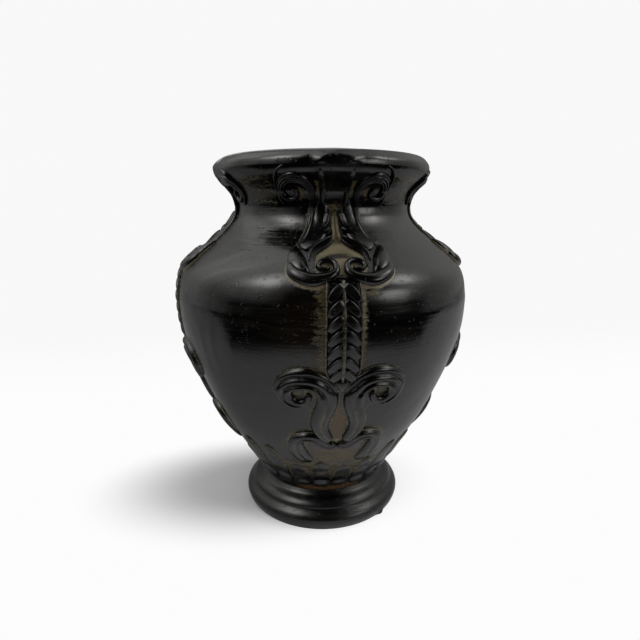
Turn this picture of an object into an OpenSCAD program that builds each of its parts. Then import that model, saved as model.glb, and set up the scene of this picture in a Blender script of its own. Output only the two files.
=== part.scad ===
// Footed urn vase with four panels of applied relief.
// Millimetres. The origin is the centre of the base, +Z is up, and the front panel faces -Y.

/* [Vessel] */
// Height from the base to the top of the lip
height = 250; // [230:1:270]
// Radius of the belly where it is widest
belly_r = 99.5; // [94:0.5:105]
// Radius of the waist between the foot and the belly
waist_r = 44.2; // [42:0.2:47]
// Radius of the throat, the narrowest place of the neck
throat_r = 58.6; // [56:0.2:60]
// Radius of the lip where it is widest
lip_r = 71.8; // [70:0.2:74]
// Radius of the foot where it is widest
foot_r = 58.2; // [55:0.2:61]
// Thickness of the wall
wall = 6.5; // [5.5:0.5:7.5]

/* [Relief] */
// Height of the scrolls over the wall
scroll_relief = 3.6; // [2.5:0.1:4.5]
// Height of the leaves and petals over the wall
leaf_relief = 3.2; // [2.2:0.1:4]
// Height of the bump on the lip
boss_relief = 2; // [1.4:0.1:2.6]
// Rows of leaves in a braid
braid_rows = 6; // [5:1:7]
// Petals in a quarter of the waist
petals_in_quarter = 6; // [6:2:8]

/* [Hidden] */
$fn = 96;
sides = ["front", "right", "back", "left"];
panel_kinds = ["rim_boss", "neck_strap", "neck_scrolls", "shoulder_leaves", "rope_scrolls", "leaf_braid",
    "lyre_scrolls", "bracket_arms"];

glaze = "#211f1c";
sprig_glaze = "#2e2a22";
washed_glaze = "#4a3d27";

// The relief is laid out on a vase of this height
layout_height = 250;
function level(z) = z * height / layout_height;

// Heights where the outline turns, and where two pieces of the pot meet
waist_z = level(25);
belly_z = level(157);
throat_z = level(218);
lip_z = level(241.5);
neck_seam_z = level(213);
lip_seam_z = level(240);
floor_z = level(34);

// Joints between the pieces of the pot
spigot_r = 33;
spigot_h = 5;
tongue_h = 3;
tongue_share = 0.55;
mouth_r = lip_r - 9.3;

// Outline stations between two turns: share of the rise, share of the change in radius
waist_to_belly = [[0, 0], [0.076, 0.09], [0.19, 0.26], [0.3, 0.42], [0.417, 0.58], [0.568, 0.74],
    [0.72, 0.879], [0.87, 0.975]];
belly_to_throat = [[0, 0], [0.13, 0.014], [0.25, 0.044], [0.344, 0.098], [0.426, 0.188], [0.508, 0.32],
    [0.59, 0.47], [0.67, 0.625], [0.754, 0.777], [0.84, 0.903], [0.92, 0.976]];
throat_to_lip = [[0, 0], [0.1, 0.03], [0.255, 0.1], [0.425, 0.22], [0.59, 0.455], [0.67, 0.62],
    [0.753, 0.773], [0.834, 0.886], [0.915, 0.962], [1, 1]];
// Foot stations from the base to the waist: share of the rise, share of the way from waist_r to foot_r
foot_stations = [[0, 0.42], [0.04, 0.65], [0.14, 0.88], [0.34, 1], [0.48, 0.92], [0.58, 0.74], [0.64, 0.65],
    [0.72, 0.6], [0.81, 0.43], [0.9, 0.16], [1, 0]];
// Lip stations outward from the seam and over the top: radius from lip_r, height from lip_z
lip_stations = [[0, 0], [-0.1, 1.5], [-0.6, 3.5], [-2, 5.5], [-3.9, 7.3], [-7, 8.5], [-9.8, 7.4],
    [-11.2, 4.6], [-10.8, 2], [-9.3, 0]];

// Smooth curve through a list of points, with a number of steps from each point to the next
function smooth(p, steps) = let (last = len(p) - 1) concat(
    [for (i = [0:last - 1], k = [0:steps - 1])
        let (t = k / steps, a = p[max(i - 1, 0)], b = p[i], c = p[i + 1], d = p[min(i + 2, last)])
        b + (c - a) * t / 2 + (2 * a - 5 * b + 4 * c - d) * t ^ 2 / 2 + (3 * b - a - 3 * c + d) * t ^ 3 / 2],
    [p[last]]);

function lerp(a, b, t) = a + (b - a) * t;
function stretch(shares, z0, z1, r0, r1) = [for (s = shares) [lerp(z0, z1, s[0]), lerp(r0, r1, s[1])]];

outline = smooth(concat(
    stretch(waist_to_belly, waist_z, belly_z, waist_r, belly_r),
    stretch(belly_to_throat, belly_z, throat_z, belly_r, throat_r),
    stretch(throat_to_lip, throat_z, lip_z, throat_r, lip_r)), 3);

// The outer wall at a height: radius, slope and length of wall for each millimetre of height
slope_span = 1.5;
function wall_r(z) = lookup(z, outline);
function wall_slope(z) = (wall_r(z + slope_span) - wall_r(z - slope_span)) / (2 * slope_span);
function wall_length(z) = sqrt(1 + wall_slope(z) ^ 2);
function cavity_r(z) = wall_r(z) - wall * wall_length(z);

function outer_run(z0, z1) = concat(
    [[wall_r(z0), z0]],
    [for (p = outline) if (p[0] > z0 && p[0] < z1) [p[1], p[0]]],
    [[wall_r(z1), z1]]);
cavity_step = 4;
function inner_run(z0, z1) = let (n = ceil((z1 - z0) / cavity_step))
    [for (k = [n:-1:0]) let (z = lerp(z0, z1, k / n)) [cavity_r(z), z]];

// Pieces of the pot

module foot_ring() {
    side_run = [for (p = smooth(foot_stations, 3)) [lerp(waist_r, foot_r, p[1]), p[0] * waist_z]];
    color(glaze) rotate_extrude()
        polygon(concat([[spigot_r, 0]], side_run, [[spigot_r, waist_z]]));
}

neck_tongue_r = lerp(cavity_r(neck_seam_z), wall_r(neck_seam_z), tongue_share);
lip_tongue_r = lerp(mouth_r, wall_r(lip_seam_z), tongue_share);
neck_tongue_z = neck_seam_z - tongue_h;

module body() {
    floor_rise = level(8);
    floor_bend = 10;
    floor_r = cavity_r(floor_z + floor_rise) - floor_bend;
    color(glaze) rotate_extrude()
        polygon(concat(
            [[0, waist_z - spigot_h], [spigot_r, waist_z - spigot_h], [spigot_r, waist_z]],
            outer_run(waist_z, neck_seam_z),
            [[neck_tongue_r, neck_seam_z], [neck_tongue_r, neck_tongue_z]],
            inner_run(floor_z + floor_rise, neck_tongue_z),
            [[floor_r + floor_bend * 0.6, floor_z + floor_rise / 4], [floor_r, floor_z], [0, floor_z]]));
}

module neck_collar() {
    color(glaze) rotate_extrude()
        polygon(concat(
            [[cavity_r(neck_tongue_z), neck_tongue_z], [neck_tongue_r, neck_tongue_z]],
            [[neck_tongue_r, neck_seam_z]],
            outer_run(neck_seam_z, lip_seam_z),
            [[lip_tongue_r, lip_seam_z], [lip_tongue_r, lip_z], [mouth_r, lip_z]],
            inner_run(neck_seam_z, lip_seam_z)));
}

lip_run = [for (p = smooth(lip_stations, 4)) [lip_r + p[0], lip_z + p[1] * height / layout_height]];

module rim_lip() {
    color(glaze) rotate_extrude()
        polygon(concat(outer_run(lip_seam_z, lip_z), lip_run,
            [[lip_tongue_r, lip_z], [lip_tongue_r, lip_seam_z]]));
}

// Relief. Every relief piece is a loft of rings, each a cross-section that stands on the wall.

// The end of a loft is one face. Where the second half of a ring runs back under the first, it is a ladder
// of triangles between the two halves.
function end_faces(m, ladder) = ladder
    ? [for (k = [0:m / 2 - 2]) each [[k, k + 1, m - 1 - k], [k + 1, m - 2 - k, m - 1 - k]]]
    : [[for (k = [0:m - 1]) k]];
function flipped(face) = [for (k = [len(face) - 1:-1:0]) face[k]];

module loft(rings, ladder = false) {
    m = len(rings[0]);
    n = len(rings);
    points = [for (ring = rings) each ring];
    start_cap = [for (face = end_faces(m, ladder)) flipped(face)];
    end_cap = [for (face = end_faces(m, ladder)) [for (k = face) (n - 1) * m + k]];
    skin = [for (i = [0:n - 2], k = [0:m - 1])
        let (a = i * m + k, b = i * m + (k + 1) % m)
        each [[a, b, b + m], [a, b + m, a + m]]];
    polyhedron(points, concat(start_cap, skin, end_cap), convexity = 6);
}

// A point over the wall: angle from the panel's middle, height, and distance out from the wall
function wall_point(a, z, out) = let (k = wall_length(z), r = wall_r(z) + out / k)
    [r * sin(a), -r * cos(a), z - out * wall_slope(z) / k];

// Degrees round the pot for one millimetre along the wall
function degrees(z) = 180 / (PI * wall_r(z));

// A path holds [angle, height, half width, relief].
// A cross-section holds [share of half width, share of relief].
function across(path, i) =
    let (p = path[max(i - 1, 0)], q = path[min(i + 1, len(path) - 1)], z = path[i][1])
    let (run = [(q[0] - p[0]) / degrees(z), (q[1] - p[1]) * wall_length(z)], size = norm(run))
    [-run[1] / size * degrees(z), run[0] / size / wall_length(z)];

function set_on_wall(section, p, side) = [for (s = section) let (shift = s[0] * p[2])
    wall_point(p[0] + shift * side[0], p[1] + shift * side[1], s[1] * p[3])];

module ribbon(path, section, ladder = false) {
    loft([for (i = [0:len(path) - 1]) set_on_wall(section, path[i], across(path, i))], ladder);
}

module both_halves() {
    children();
    mirror([1, 0, 0]) children();
}

bead = [[-1, 0], [-0.7, 0.75], [0, 1], [0.7, 0.75], [1, 0], [0, 0]];
grooved_band = [[-1, 0], [-0.85, 0.8], [-0.5, 1], [0, 0.5], [0.5, 1], [0.85, 0.8], [1, 0], [0, 0]];
folded_leaf = [[-1, 0], [-0.85, 0.8], [-0.6, 1], [-0.3, 0.5], [0.05, 1], [0.35, 0.55], [0.7, 1], [0.9, 0.8],
    [1, 0], [0, 0]];
channel_top = [[-1, 0.5], [-0.95, 0.85], [-0.8, 1], [-0.6, 0.4], [0, 0.25], [0.6, 0.4], [0.8, 1],
    [0.95, 0.85], [1, 0.5]];
channel = concat(channel_top, [for (s = flipped(channel_top)) [s[0], 0]]);
braid_bead = [[-1, 0], [-0.6, 0.9], [0.4, 1], [1, 0]];
petal_back = [[-1, 0], [-0.75, 0.8], [-0.2, 1], [0, 0.8], [0.2, 1], [0.75, 0.8], [1, 0], [0, 0]];

// Spiral round a centre [angle, height], from one turn angle and radius to another.
// It winds in evenly if ease is 1, and is as tall as it is wide if rise is 1.
function spiral(centre, turn, radius, half_width, relief, steps, ease = 1, rise = 1) =
    [for (k = [0:steps])
        let (t = k / steps, rho = lerp(radius[0], radius[1], t ^ ease), phi = lerp(turn[0], turn[1], t))
        [centre[0] + rho * cos(phi) * degrees(centre[1]),
         centre[1] + rise * rho * sin(phi) / wall_length(centre[1]),
         lerp(half_width[0], half_width[1], t),
         lerp(relief[0], relief[1], t)]];

function lay(points) = [for (p = points) [p[0], level(p[1]), p[2], p[3]]];

// The bump over the lip, highest over the strap's middle: angle, share of the relief
boss_lobes = [[-13, 0.05], [-10, 0.35], [-7, 0.75], [-3.5, 0.85], [0, 1], [3.5, 0.85], [7, 0.75],
    [10, 0.35], [13, 0.05]];
boss_edge = 1;

module rim_boss() {
    lip_face = [for (i = [1:2:len(lip_run) - 1]) if (lip_run[i][0] > mouth_r + boss_edge) lip_run[i]];
    last = len(lip_face) - 1;
    function lifted(i, out) = let (run = lip_face[min(i + 1, last)] - lip_face[max(i - 1, 0)])
        lip_face[i] + [run[1], -run[0]] / norm(run) * out;
    function turned(p, a) = [p[0] * sin(a), -p[0] * cos(a), p[1]];
    function fade(i) = sin(180 * (i + 0.5) / (last + 1));
    color(sprig_glaze) loft([for (lobe = boss_lobes) concat(
        [for (i = [0:last]) turned(lifted(i, lobe[1] * boss_relief * fade(i)), lobe[0])],
        [for (i = [last:-1:0]) turned(lip_face[i], lobe[0])])], ladder = true);
}

module neck_strap() {
    run = smooth(lay([[0, 240.5, 11.5, 2.6], [0, 234, 10, 2.8], [0, 226, 8.3, 2.8],
        [0, 220.5, 7.6, 1.6]]), 2);
    color(sprig_glaze) ribbon(run, channel, ladder = true);
}

module neck_scrolls() {
    stem = smooth(lay([[16.2, 199.5, 1.1, 1], [14, 204, 1.6, 1.8], [12.9, 209.5, 2, 2.6],
        [12.3, 215.5, 2.2, 3], [12, 221, 2.3, 3.2]]), 2);
    coil = spiral([23.6, level(227)], [180, -240], [12, 2.8], [2.3, 1.6],
        [scroll_relief, 0.6 * scroll_relief], 20, 0.9);
    color(sprig_glaze) both_halves() ribbon(concat(stem, coil), bead);
}

module shoulder_leaves() {
    run = smooth(lay([[6.2, 219, 3.6, 1.2], [6.2, 213, 4.2, 2.6], [6.8, 207.5, 4.6, 3.2],
        [8.4, 202.5, 5, 3.2], [11.2, 198.6, 4.6, 2.8]]), 3);
    color(sprig_glaze) both_halves() ribbon(run, folded_leaf);
}

module rope_scrolls() {
    arm = smooth(lay([[14.4, 195.8, 4, 2.6], [16, 192.6, 5, 3.2], [17, 189.4, 4.7, 3.6],
        [16.8, 186.2, 4.2, 3.7], [15, 183.6, 4, 3.7], [12, 182.1, 3.6, 3.7], [8.8, 181.5, 3, 3.7],
        [5.6, 181.5, 2.5, 3.5], [3, 182.8, 2.2, 3.4]]), 2);
    volute = spiral([4.9, level(187.2)], [200, -160], [5.4, 1.7], [1.7, 1.1], [3.2, 2.2], 12);
    color(sprig_glaze) both_halves() ribbon(concat(arm, volute), grooved_band);
}

// One braid leaf hangs down and out from the middle of the braid
function leaf_run(points) = [for (p = lay(points)) [p[0], p[1], p[2], p[3] * leaf_relief]];

module braid_leaf(z) {
    ribbon(leaf_run([[0.6, z, 1.4, 0.6], [1.8, z - 1.8, 3, 1], [3.5, z - 4.4, 3.5, 1],
        [4.7, z - 7.2, 2.6, 0.8], [5.4, z - 9.2, 0.9, 0.3]]), braid_bead);
}

module leaf_braid() {
    first_row = 177;
    last_row = 137.4;
    pitch = (first_row - last_row) / (braid_rows - 1);
    tip = leaf_run([[0, 134, 2, 0.4], [0, 131.5, 6.6, 0.9], [0, 128.5, 7, 1], [0, 124.5, 4.4, 1],
        [0, 120.5, 1.4, 0.7], [0, 118.8, 0.4, 0.3]]);
    color(sprig_glaze) {
        both_halves() for (i = [0:braid_rows - 1]) braid_leaf(first_row - i * pitch);
        ribbon(tip, bead);
    }
}

module lyre_scrolls() {
    stem = smooth(lay([[7, 88.4, 4, 2.6], [7.8, 94.4, 5.2, 3.4], [7, 101, 5.7, 3.6], [5.7, 107.5, 5.8, 3.6],
        [5.1, 113, 5.8, 3.6]]), 2);
    coil = spiral([14.2, level(117)], [184, -225], [14.9, 4], [5.8, 1.6],
        [scroll_relief, 0.7 * scroll_relief], 20, 1.3);
    color(sprig_glaze) both_halves() ribbon(concat(stem, coil), grooved_band);
}

module bracket_arms() {
    run = smooth(lay([[2.2, 77.6, 3.2, 2.8], [4.8, 78.2, 3.4, 3.3], [8.2, 81, 3.4, 3.4],
        [12, 83.2, 3.2, 3.4], [16, 82.4, 3.2, 3.4], [19.2, 78.6, 3.8, 3.4], [19.9, 73.2, 4.4, 3.4],
        [18.6, 67.2, 4.2, 3], [15.6, 62.8, 3.2, 2.6], [11, 60.4, 1.5, 1.2]]), 2);
    color(sprig_glaze) both_halves() ribbon(run, grooved_band);
}

// A petal stands up from the waist. Petals stand side by side all the way round, and two of them meet at
// the middle of each panel.
petal_pitch = 90 / petals_in_quarter;
petal_fill = 0.47;
petal_foot = 30.5;
short_top = 56;
tall_top = 68;
// Petal stations: share of the rise, share of the half width, share of the relief
petal_stations = [[0, 0.45, 0.5], [0.06, 0.85, 0.95], [0.3, 1, 1], [0.65, 0.92, 0.9], [0.88, 0.62, 0.7],
    [1, 0.15, 0.25]];

module petal(a, top) {
    run = [for (s = petal_stations) let (z = level(lerp(petal_foot, top, s[0])))
        [a, z, s[1] * petal_fill * petal_pitch / degrees(z), s[2] * leaf_relief]];
    ribbon(run, petal_back);
}

// Petals this far from a panel's middle or farther are tall
tall_from = 30;
module petals(tall) {
    for (side = [0:3], i = [0:petals_in_quarter - 1]) {
        a = (i + 0.5) * petal_pitch - 45;
        is_tall = abs(a) > tall_from;
        if (is_tall == tall) rotate([0, 0, 90 * side]) petal(a, tall ? tall_top : short_top);
    }
}

module short_petals() {
    color(washed_glaze) petals(false);
}

module tall_petals() {
    color(washed_glaze) petals(true);
}

foot_ring();
body();
neck_collar();
rim_lip();
short_petals();
tall_petals();
for (i = [0:len(sides) - 1]) rotate([0, 0, 90 * i]) {
    rim_boss();
    neck_strap();
    neck_scrolls();
    shoulder_leaves();
    rope_scrolls();
    leaf_braid();
    lyre_scrolls();
    bracket_arms();
}
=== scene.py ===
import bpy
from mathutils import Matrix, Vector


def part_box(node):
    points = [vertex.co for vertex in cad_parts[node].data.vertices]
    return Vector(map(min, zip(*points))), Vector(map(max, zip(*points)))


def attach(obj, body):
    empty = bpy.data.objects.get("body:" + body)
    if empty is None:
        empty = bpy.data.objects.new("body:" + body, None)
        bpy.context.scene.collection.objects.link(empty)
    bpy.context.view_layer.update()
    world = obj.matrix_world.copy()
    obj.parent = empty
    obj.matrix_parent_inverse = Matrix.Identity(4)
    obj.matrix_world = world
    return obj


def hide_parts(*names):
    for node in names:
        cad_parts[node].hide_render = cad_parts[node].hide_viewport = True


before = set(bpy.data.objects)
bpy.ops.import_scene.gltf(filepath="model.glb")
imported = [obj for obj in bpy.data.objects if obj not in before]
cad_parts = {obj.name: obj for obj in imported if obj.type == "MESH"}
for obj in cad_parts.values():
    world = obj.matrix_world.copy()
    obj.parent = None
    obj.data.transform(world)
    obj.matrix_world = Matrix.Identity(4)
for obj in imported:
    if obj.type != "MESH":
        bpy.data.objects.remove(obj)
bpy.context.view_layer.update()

import math

import bpy
import numpy as np
from mathutils import Matrix

bl_info = {
    "name": "Footed urn vase",
    "version": (1, 0, 0),
    "blender": (4, 5, 0),
    "location": "View3D > Sidebar > Urn",
    "description": "Builds the glazed pieces of a footed urn vase over its packed solids",
    "category": "Object",
}

MM = 0.001
SIDES = ("front", "right", "back", "left")
PANEL_WIDTH = 90.0

# The pot is laid out in millimetres on a vase of this height, with scrolls that stand out by this much
LAYOUT_HEIGHT = 250.0
LAYOUT_SCROLL = 3.6
WAIST_Z = 25.0
BELLY_Z = 157.0
THROAT_Z = 218.0
LIP_Z = 241.5
NECK_SEAM_Z = 213.0
LIP_SEAM_Z = 240.0
FLOOR_Z = 34.0
FLOOR_RISE = 8.0
FLOOR_BEND = 10.0
SPIGOT_R = 33.0
SPIGOT_H = 5.0
TONGUE_H = 3.0
TONGUE_SHARE = 0.55
MOUTH_INSET = 9.3
# A short first and last step on the outer wall of a turned piece, so that the light runs on over its seams
SEAM_STEP = 0.12

# Outline stations between two turns: share of the rise, share of the change in radius
WAIST_TO_BELLY = ((0, 0), (0.076, 0.09), (0.19, 0.26), (0.3, 0.42), (0.417, 0.58), (0.568, 0.74),
                  (0.72, 0.879), (0.87, 0.975))
BELLY_TO_THROAT = ((0, 0), (0.13, 0.014), (0.25, 0.044), (0.344, 0.098), (0.426, 0.188), (0.508, 0.32),
                   (0.59, 0.47), (0.67, 0.625), (0.754, 0.777), (0.84, 0.903), (0.92, 0.976))
THROAT_TO_LIP = ((0, 0), (0.1, 0.015), (0.255, 0.078), (0.425, 0.21), (0.59, 0.455), (0.67, 0.62),
                 (0.753, 0.773), (0.834, 0.886), (0.915, 0.962), (1, 1))
# Foot stations from the base to the waist: share of the rise, share of the way from waist to foot radius
FOOT_STATIONS = ((0, 0.42), (0.04, 0.65), (0.14, 0.88), (0.34, 1), (0.48, 0.92), (0.58, 0.74),
                 (0.64, 0.65), (0.72, 0.6), (0.81, 0.43), (0.9, 0.16), (1, 0))
# Lip stations over the top, in millimetres: from the lip's radius, from the lip's height
LIP_STATIONS = ((0, 0), (-0.1, 1.5), (-0.6, 3.5), (-2, 5.5), (-3.9, 7.3), (-7, 8.5), (-9.8, 7.4),
                (-11.2, 4.6), (-10.8, 2), (-9.3, 0))

# Runs of the relief on the right half of a panel: angle from its middle, height, half width, relief
STRAP = ((0, 240.5, 11.6, 0.4), (0, 238, 11.2, 1), (0, 234, 10.2, 1.9), (0, 229, 9.2, 2.2),
         (0, 224, 8.4, 1.8), (0, 219, 7.8, 0.8), (0, 216, 7.4, 0.4))
NECK_STEM = ((19.4, 194.4, 0.7, 0.5), (16.4, 199, 1.1, 1.1), (14.2, 205, 1.3, 1.5),
             (13.2, 211, 1.4, 1.8), (12.7, 217, 1.6, 2), (12.2, 222, 1.9, 2.2))
NECK_CURL = ((24, 241.2, 0.6, 1.2), (27.5, 238.6, 0.9, 1.8), (29.6, 235, 1, 2), (31, 229.5, 1, 2),
             (30.6, 223.6, 0.9, 1.6), (28.6, 219.6, 0.6, 1))
LEAF_BLADE = ((7.4, 223, 2, 0.3), (7.4, 218, 3.4, 0.9), (7.6, 213, 4.2, 1.3), (8.2, 207.5, 4.8, 1.5),
              (9.8, 202.5, 5.4, 1.7), (12.2, 198.4, 5.4, 1.8), (14.2, 195.2, 4.4, 1.6))
LEAF_LOBES = (
    ((3.4, 216, 1.6, 2.4), (4.2, 212.5, 2.6, 3.2), (5, 209, 2.8, 3.2), (6.6, 206.6, 2.2, 3),
     (8.4, 205, 1.2, 2.2)),
    ((2.6, 206.8, 1, 2.4), (4.2, 205.2, 1.8, 3.1), (6.6, 203.9, 2, 3.1), (9.2, 203, 1.6, 2.7),
     (11.2, 202, 0.9, 1.8)),
    ((2.2, 202.2, 0.9, 2.4), (4.1, 200.8, 1.5, 3), (6.8, 199.3, 1.8, 3.1), (9.2, 197.6, 1.7, 3),
     (11, 195.4, 1.4, 2.6), (11.8, 192.8, 1, 2), (11.6, 189.8, 0.6, 1.2)),
    ((1.4, 200.4, 0.6, 1.6), (3.2, 198.4, 0.8, 2.2), (5.6, 196.3, 0.8, 2.2), (8, 194.7, 0.8, 2),
     (9.6, 192.9, 0.7, 1.8), (10, 190, 0.6, 1.4), (9.6, 186.6, 0.5, 1)),
)
ROPE_LOBE = ((18.6, 197, 1.4, 1.6), (17.6, 193.8, 3.5, 3), (16.6, 190.9, 5, 3.6), (15.4, 188, 5.4, 3.7),
             (13.4, 185.6, 4, 3.3), (11, 184, 2.2, 2.4))
ROPE_ARM = ((17.9, 190, 1.6, 2), (17.4, 187, 3, 3.2), (16.2, 184.2, 3.7, 3.8), (13.4, 182.2, 4, 3.9),
            (10, 180.8, 4.1, 3.9), (6.6, 181.4, 3.5, 3.7), (3.9, 182.6, 2.9, 3.5),
            (1.9, 184.8, 2.3, 3.4))
LYRE_STEM = ((3.4, 80.5, 3.4, 2.4), (5.4, 84.5, 4.2, 3), (7.2, 89.5, 5, 3.4), (7.8, 95, 5.6, 3.5),
             (7, 101, 6, 3.6), (5.4, 107.5, 6.2, 3.7), (4.8, 112.5, 6.4, 3.8))
BRACKET_ARM = ((0.4, 78.4, 3.4, 2.6), (3.8, 77, 3.6, 3.1), (7, 80.4, 3.8, 3.3), (10.4, 83.8, 3.8, 3.4),
               (14.6, 84, 3.6, 3.4), (18, 81, 4.4, 3.4), (19.3, 75.4, 5.4, 3.4), (18.6, 68.6, 5.6, 2.9),
               (16.6, 62.6, 5.2, 2), (14, 58, 4, 0.7))
# Coils at the ends of the runs: turn about the eye, distance from it, half width, relief
NECK_EYE = (23.6, 227)
NECK_COIL = ((180, 11.7, 2.1, 2.3), (150, 10.9, 2.9, 2.3), (125, 9.9, 3.6, 2.3), (90, 8.4, 3.8, 2.3),
             (55, 7.2, 3.3, 2.3), (20, 6.3, 2.6, 2.3), (-20, 5.6, 2.1, 2.3), (-70, 5, 1.8, 2.2),
             (-130, 4.2, 1.6, 2.1), (-200, 3, 1.5, 2), (-250, 2.2, 1.2, 1.9))
ROPE_EYE = (5.5, 187.1)
ROPE_COIL = ((195, 5.6, 2, 3.3), (150, 5.2, 1.9, 3.3), (90, 4.6, 1.8, 3.2), (30, 4.3, 1.6, 3),
             (-30, 3.7, 1.4, 2.8), (-90, 2.8, 1.2, 2.6), (-150, 1.9, 1, 2.3), (-200, 1.2, 0.8, 2))
ROPE_COIL_RISE = 0.85
LYRE_EYE = (14.2, 117)
LYRE_COIL = ((184, 15, 6.4, 3.9), (135, 12.6, 7, 4.2), (90, 10.4, 7.4, 4.2), (45, 10.2, 6.6, 4),
             (0, 10, 5.6, 3.6), (-45, 8.6, 4.2, 3.2), (-90, 7, 3, 3), (-140, 5.4, 2.2, 2.7),
             (-190, 3.9, 1.6, 2.4))
# Grooves along a lyre scroll: share of the way along, place across, depth
LYRE_OUTER_GROOVE = ((0, 1, 0), (0.39, 1, 0), (0.42, 0.75, 0.4), (0.45, 0.5, 0.55), (0.6, 0.32, 0.55),
                     (0.7, 0.45, 0.5), (0.74, 0.5, 0), (1, 0.5, 0))
LYRE_INNER_GROOVE = ((0, 0.1, 0.1), (0.08, 0.13, 0.16), (0.18, 0.13, 0.2), (0.24, 0.2, 0.2),
                     (0.34, 0, 0.24), (0.39, -0.15, 0.34), (0.42, -0.34, 0.6), (0.53, -0.42, 0.62),
                     (0.6, -0.4, 0.62), (0.64, -0.37, 0.6), (0.7, -0.31, 0.5), (0.756, 0, 0.28),
                     (0.8, 0.1, 0.42), (0.86, 0.2, 0.4), (0.93, 0.2, 0), (1, 0.2, 0))
GROOVE_WIDTH = 0.18
# A braid leaf from the middle of its row: angle, drop, half width, share of the relief
BRAID_LEAF = ((0.2, 0.4, 1.8, 0.7), (1.2, 1.8, 2.7, 0.95), (2.7, 4.2, 2.9, 1), (4, 6.8, 2.5, 0.9),
              (4.9, 8.8, 1.5, 0.6))
BRAID_LAST_LEAF = ((0.2, 132.4, 2.2, 0.7), (1.2, 131.2, 3, 0.9), (2.6, 129, 3, 0.9),
                   (3.8, 126.6, 2.2, 0.7), (4.4, 125, 1.2, 0.4))
BRAID_TIP = ((0, 128, 3.6, 0.5), (0, 124.4, 4.8, 0.9), (0, 121, 2.6, 0.8), (0, 118.2, 0.6, 0.4))
# Across a braid leaf from its lower edge to its upper edge: place, share of the relief
BRAID_SECTION = ((-1, 0), (-0.9, 0.55), (-0.78, 0.82), (-0.2, 0.88), (0.3, 0.92), (0.6, 1),
                 (0.78, 0.85), (1, 0))
BRAID_FIRST = 178.9
BRAID_LAST = 140.2
# The plate, the middle rib and the border of a braid: angle, height, half width, relief
BRAID_PLATE = ((0, 183.5, 8.5, 0.6), (0, 178, 9.3, 1), (0, 140, 9.3, 1), (0, 131, 9.3, 1),
               (0, 126, 6.5, 1), (0, 121, 2.6, 0.9), (0, 118, 0.6, 0.5))
BRAID_RIB = ((0, 181, 1.1, 2), (0, 160, 1.4, 2.6), (0, 135, 1.6, 2.8), (0, 126, 1.2, 2.4),
             (0, 121.5, 0.6, 1.6))
BRAID_BORDER = ((5.4, 183, 0.6, 1.8), (5.5, 160, 0.7, 1.8), (5.6, 138, 0.7, 1.8), (5.4, 131, 0.7, 1.8),
                (3.6, 126, 0.7, 1.8), (1.2, 120.5, 0.7, 1.6), (0.2, 118, 0.5, 1))
# Petal stations: share of the rise, share of the half width, share of the relief
PETAL_STATIONS = ((0, 0.7, 0.9), (0.08, 0.98, 1), (0.3, 1, 1), (0.65, 0.94, 1), (0.88, 0.64, 1),
                  (1, 0.15, 0.8))
# Folds across a petal: share of the way up, share of the relief
PETAL_FOLDS = ((0, 0.3), (0.1, 0.56), (0.18, 0.5), (0.3, 0.22), (0.38, 0.3), (0.46, 0.42), (0.54, 0.4),
               (0.68, 0.32), (0.88, 0.36), (1.2, 0.2))
PETAL_FOOT = 30.5
PETAL_FILL = 0.485
SHORT_TOP = 56.0
TALL_TOP = 68.0
TALL_FROM = 30.0

# The room that the glaze mirrors: its radius, its middle, where lamps point, and the gap behind the pot
ROOM_RADIUS = 1.9
ROOM_Z = 0.13
ROOM_GAP = 14.0
# How white the floor is close to the pot, and how white the backdrop is that it runs out into
FLOOR_WHITE = 0.98
BACKDROP_WHITE = 0.94
# Where the shadow lies on the floor, and how far it reaches along each axis, in metres
SHADOW_MIDDLE = (-0.045, 0.012, 0)
SHADOW_REACH = (0.15, 0.085, 1)
# Where the floor that the glaze mirrors turns dark: azimuth, distance from the axis in metres
DARK_EDGE = ((-180, 1.9), (-106, 1.9), (-90, 0.72), (-72, 0.22), (-58, 0.21), (-35, 0.24), (0, 0.25),
             (30, 0.26), (50, 0.27), (64, 0.3), (84, 0.75), (104, 1.9), (180, 1.9))
DARK_EDGE_SOFTNESS = 0.2
DARK_FLOOR = 0.005
# How pale that floor is before its dark edge, partly its own grey and partly painted shade of the pot:
# azimuth, grey
FLOOR_GREY_AND_SHADE = ((-180, 0.26), (-140, 0.38), (-100, 0.52), (-60, 0.78), (0, 0.98), (60, 0.62),
               (100, 0.43), (140, 0.34), (180, 0.26))
# Streaks of light and shade on that floor on the left: azimuth, share of its grey
FLOOR_STREAKS = ((-140, 1), (-132, 0.8), (-124, 1.15), (-118, 0.8), (-111, 1.2), (-105, 0.7),
                 (-98, 1.3), (-92, 0.85), (-86, 1.15), (-78, 1))
# How far from the axis those streaks set in, and how far from it that floor begins, in metres
STREAKS_FROM = 0.16
FLOOR_START = 0.045
# How far the bump on the lip reaches to each side of its middle, in degrees
BOSS_REACH = 14.0
# Where that bump begins below the lip, and how far its edge lies under the lip's skin
BOSS_FOOT = 232.5
BOSS_SINK = 0.05
# How far a piece of relief reaches under the wall, and how far the edges of its face do
UNDER_WALL = 0.9
EDGE_SINK = 0.25
# Part of a strip's half width, from its middle, past which its face dips under the wall
EDGE_FROM = 0.9
# Places across the underside of a piece of relief, from its last edge back to its first
UNDERSIDE = (1, 0.5, 0, -0.5, -1, -1)
# Where a strip's first row lies in its rounded end, as a share of that end
BLUNT_END = 0.02

# Steps from station to station in the outline, in a run, in a coil, in a turned section and over a bump
OUTLINE_STEPS = 16
RUN_STEPS = 8
COIL_STEPS = 14
SECTION_STEPS = 6
BOSS_STEPS = 8
# Steps that measure the length of a wall
FINE_STEPS = 800
# The fewest rows of a strip, and how often its kinks are eased
FEWEST_ROWS = 6
EASING_PASSES = 6
# Steps round the axis of a turned piece
FOOT_TURNS = 360
POT_TURNS = 480
# Gaps between the rings of a wall in millimetres, outside and inside
BODY_GAPS = (1.6, 7)
NECK_GAPS = (0.8, 2.5)
LIP_GAP = 0.8
BOSS_GAP = 0.7
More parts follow.
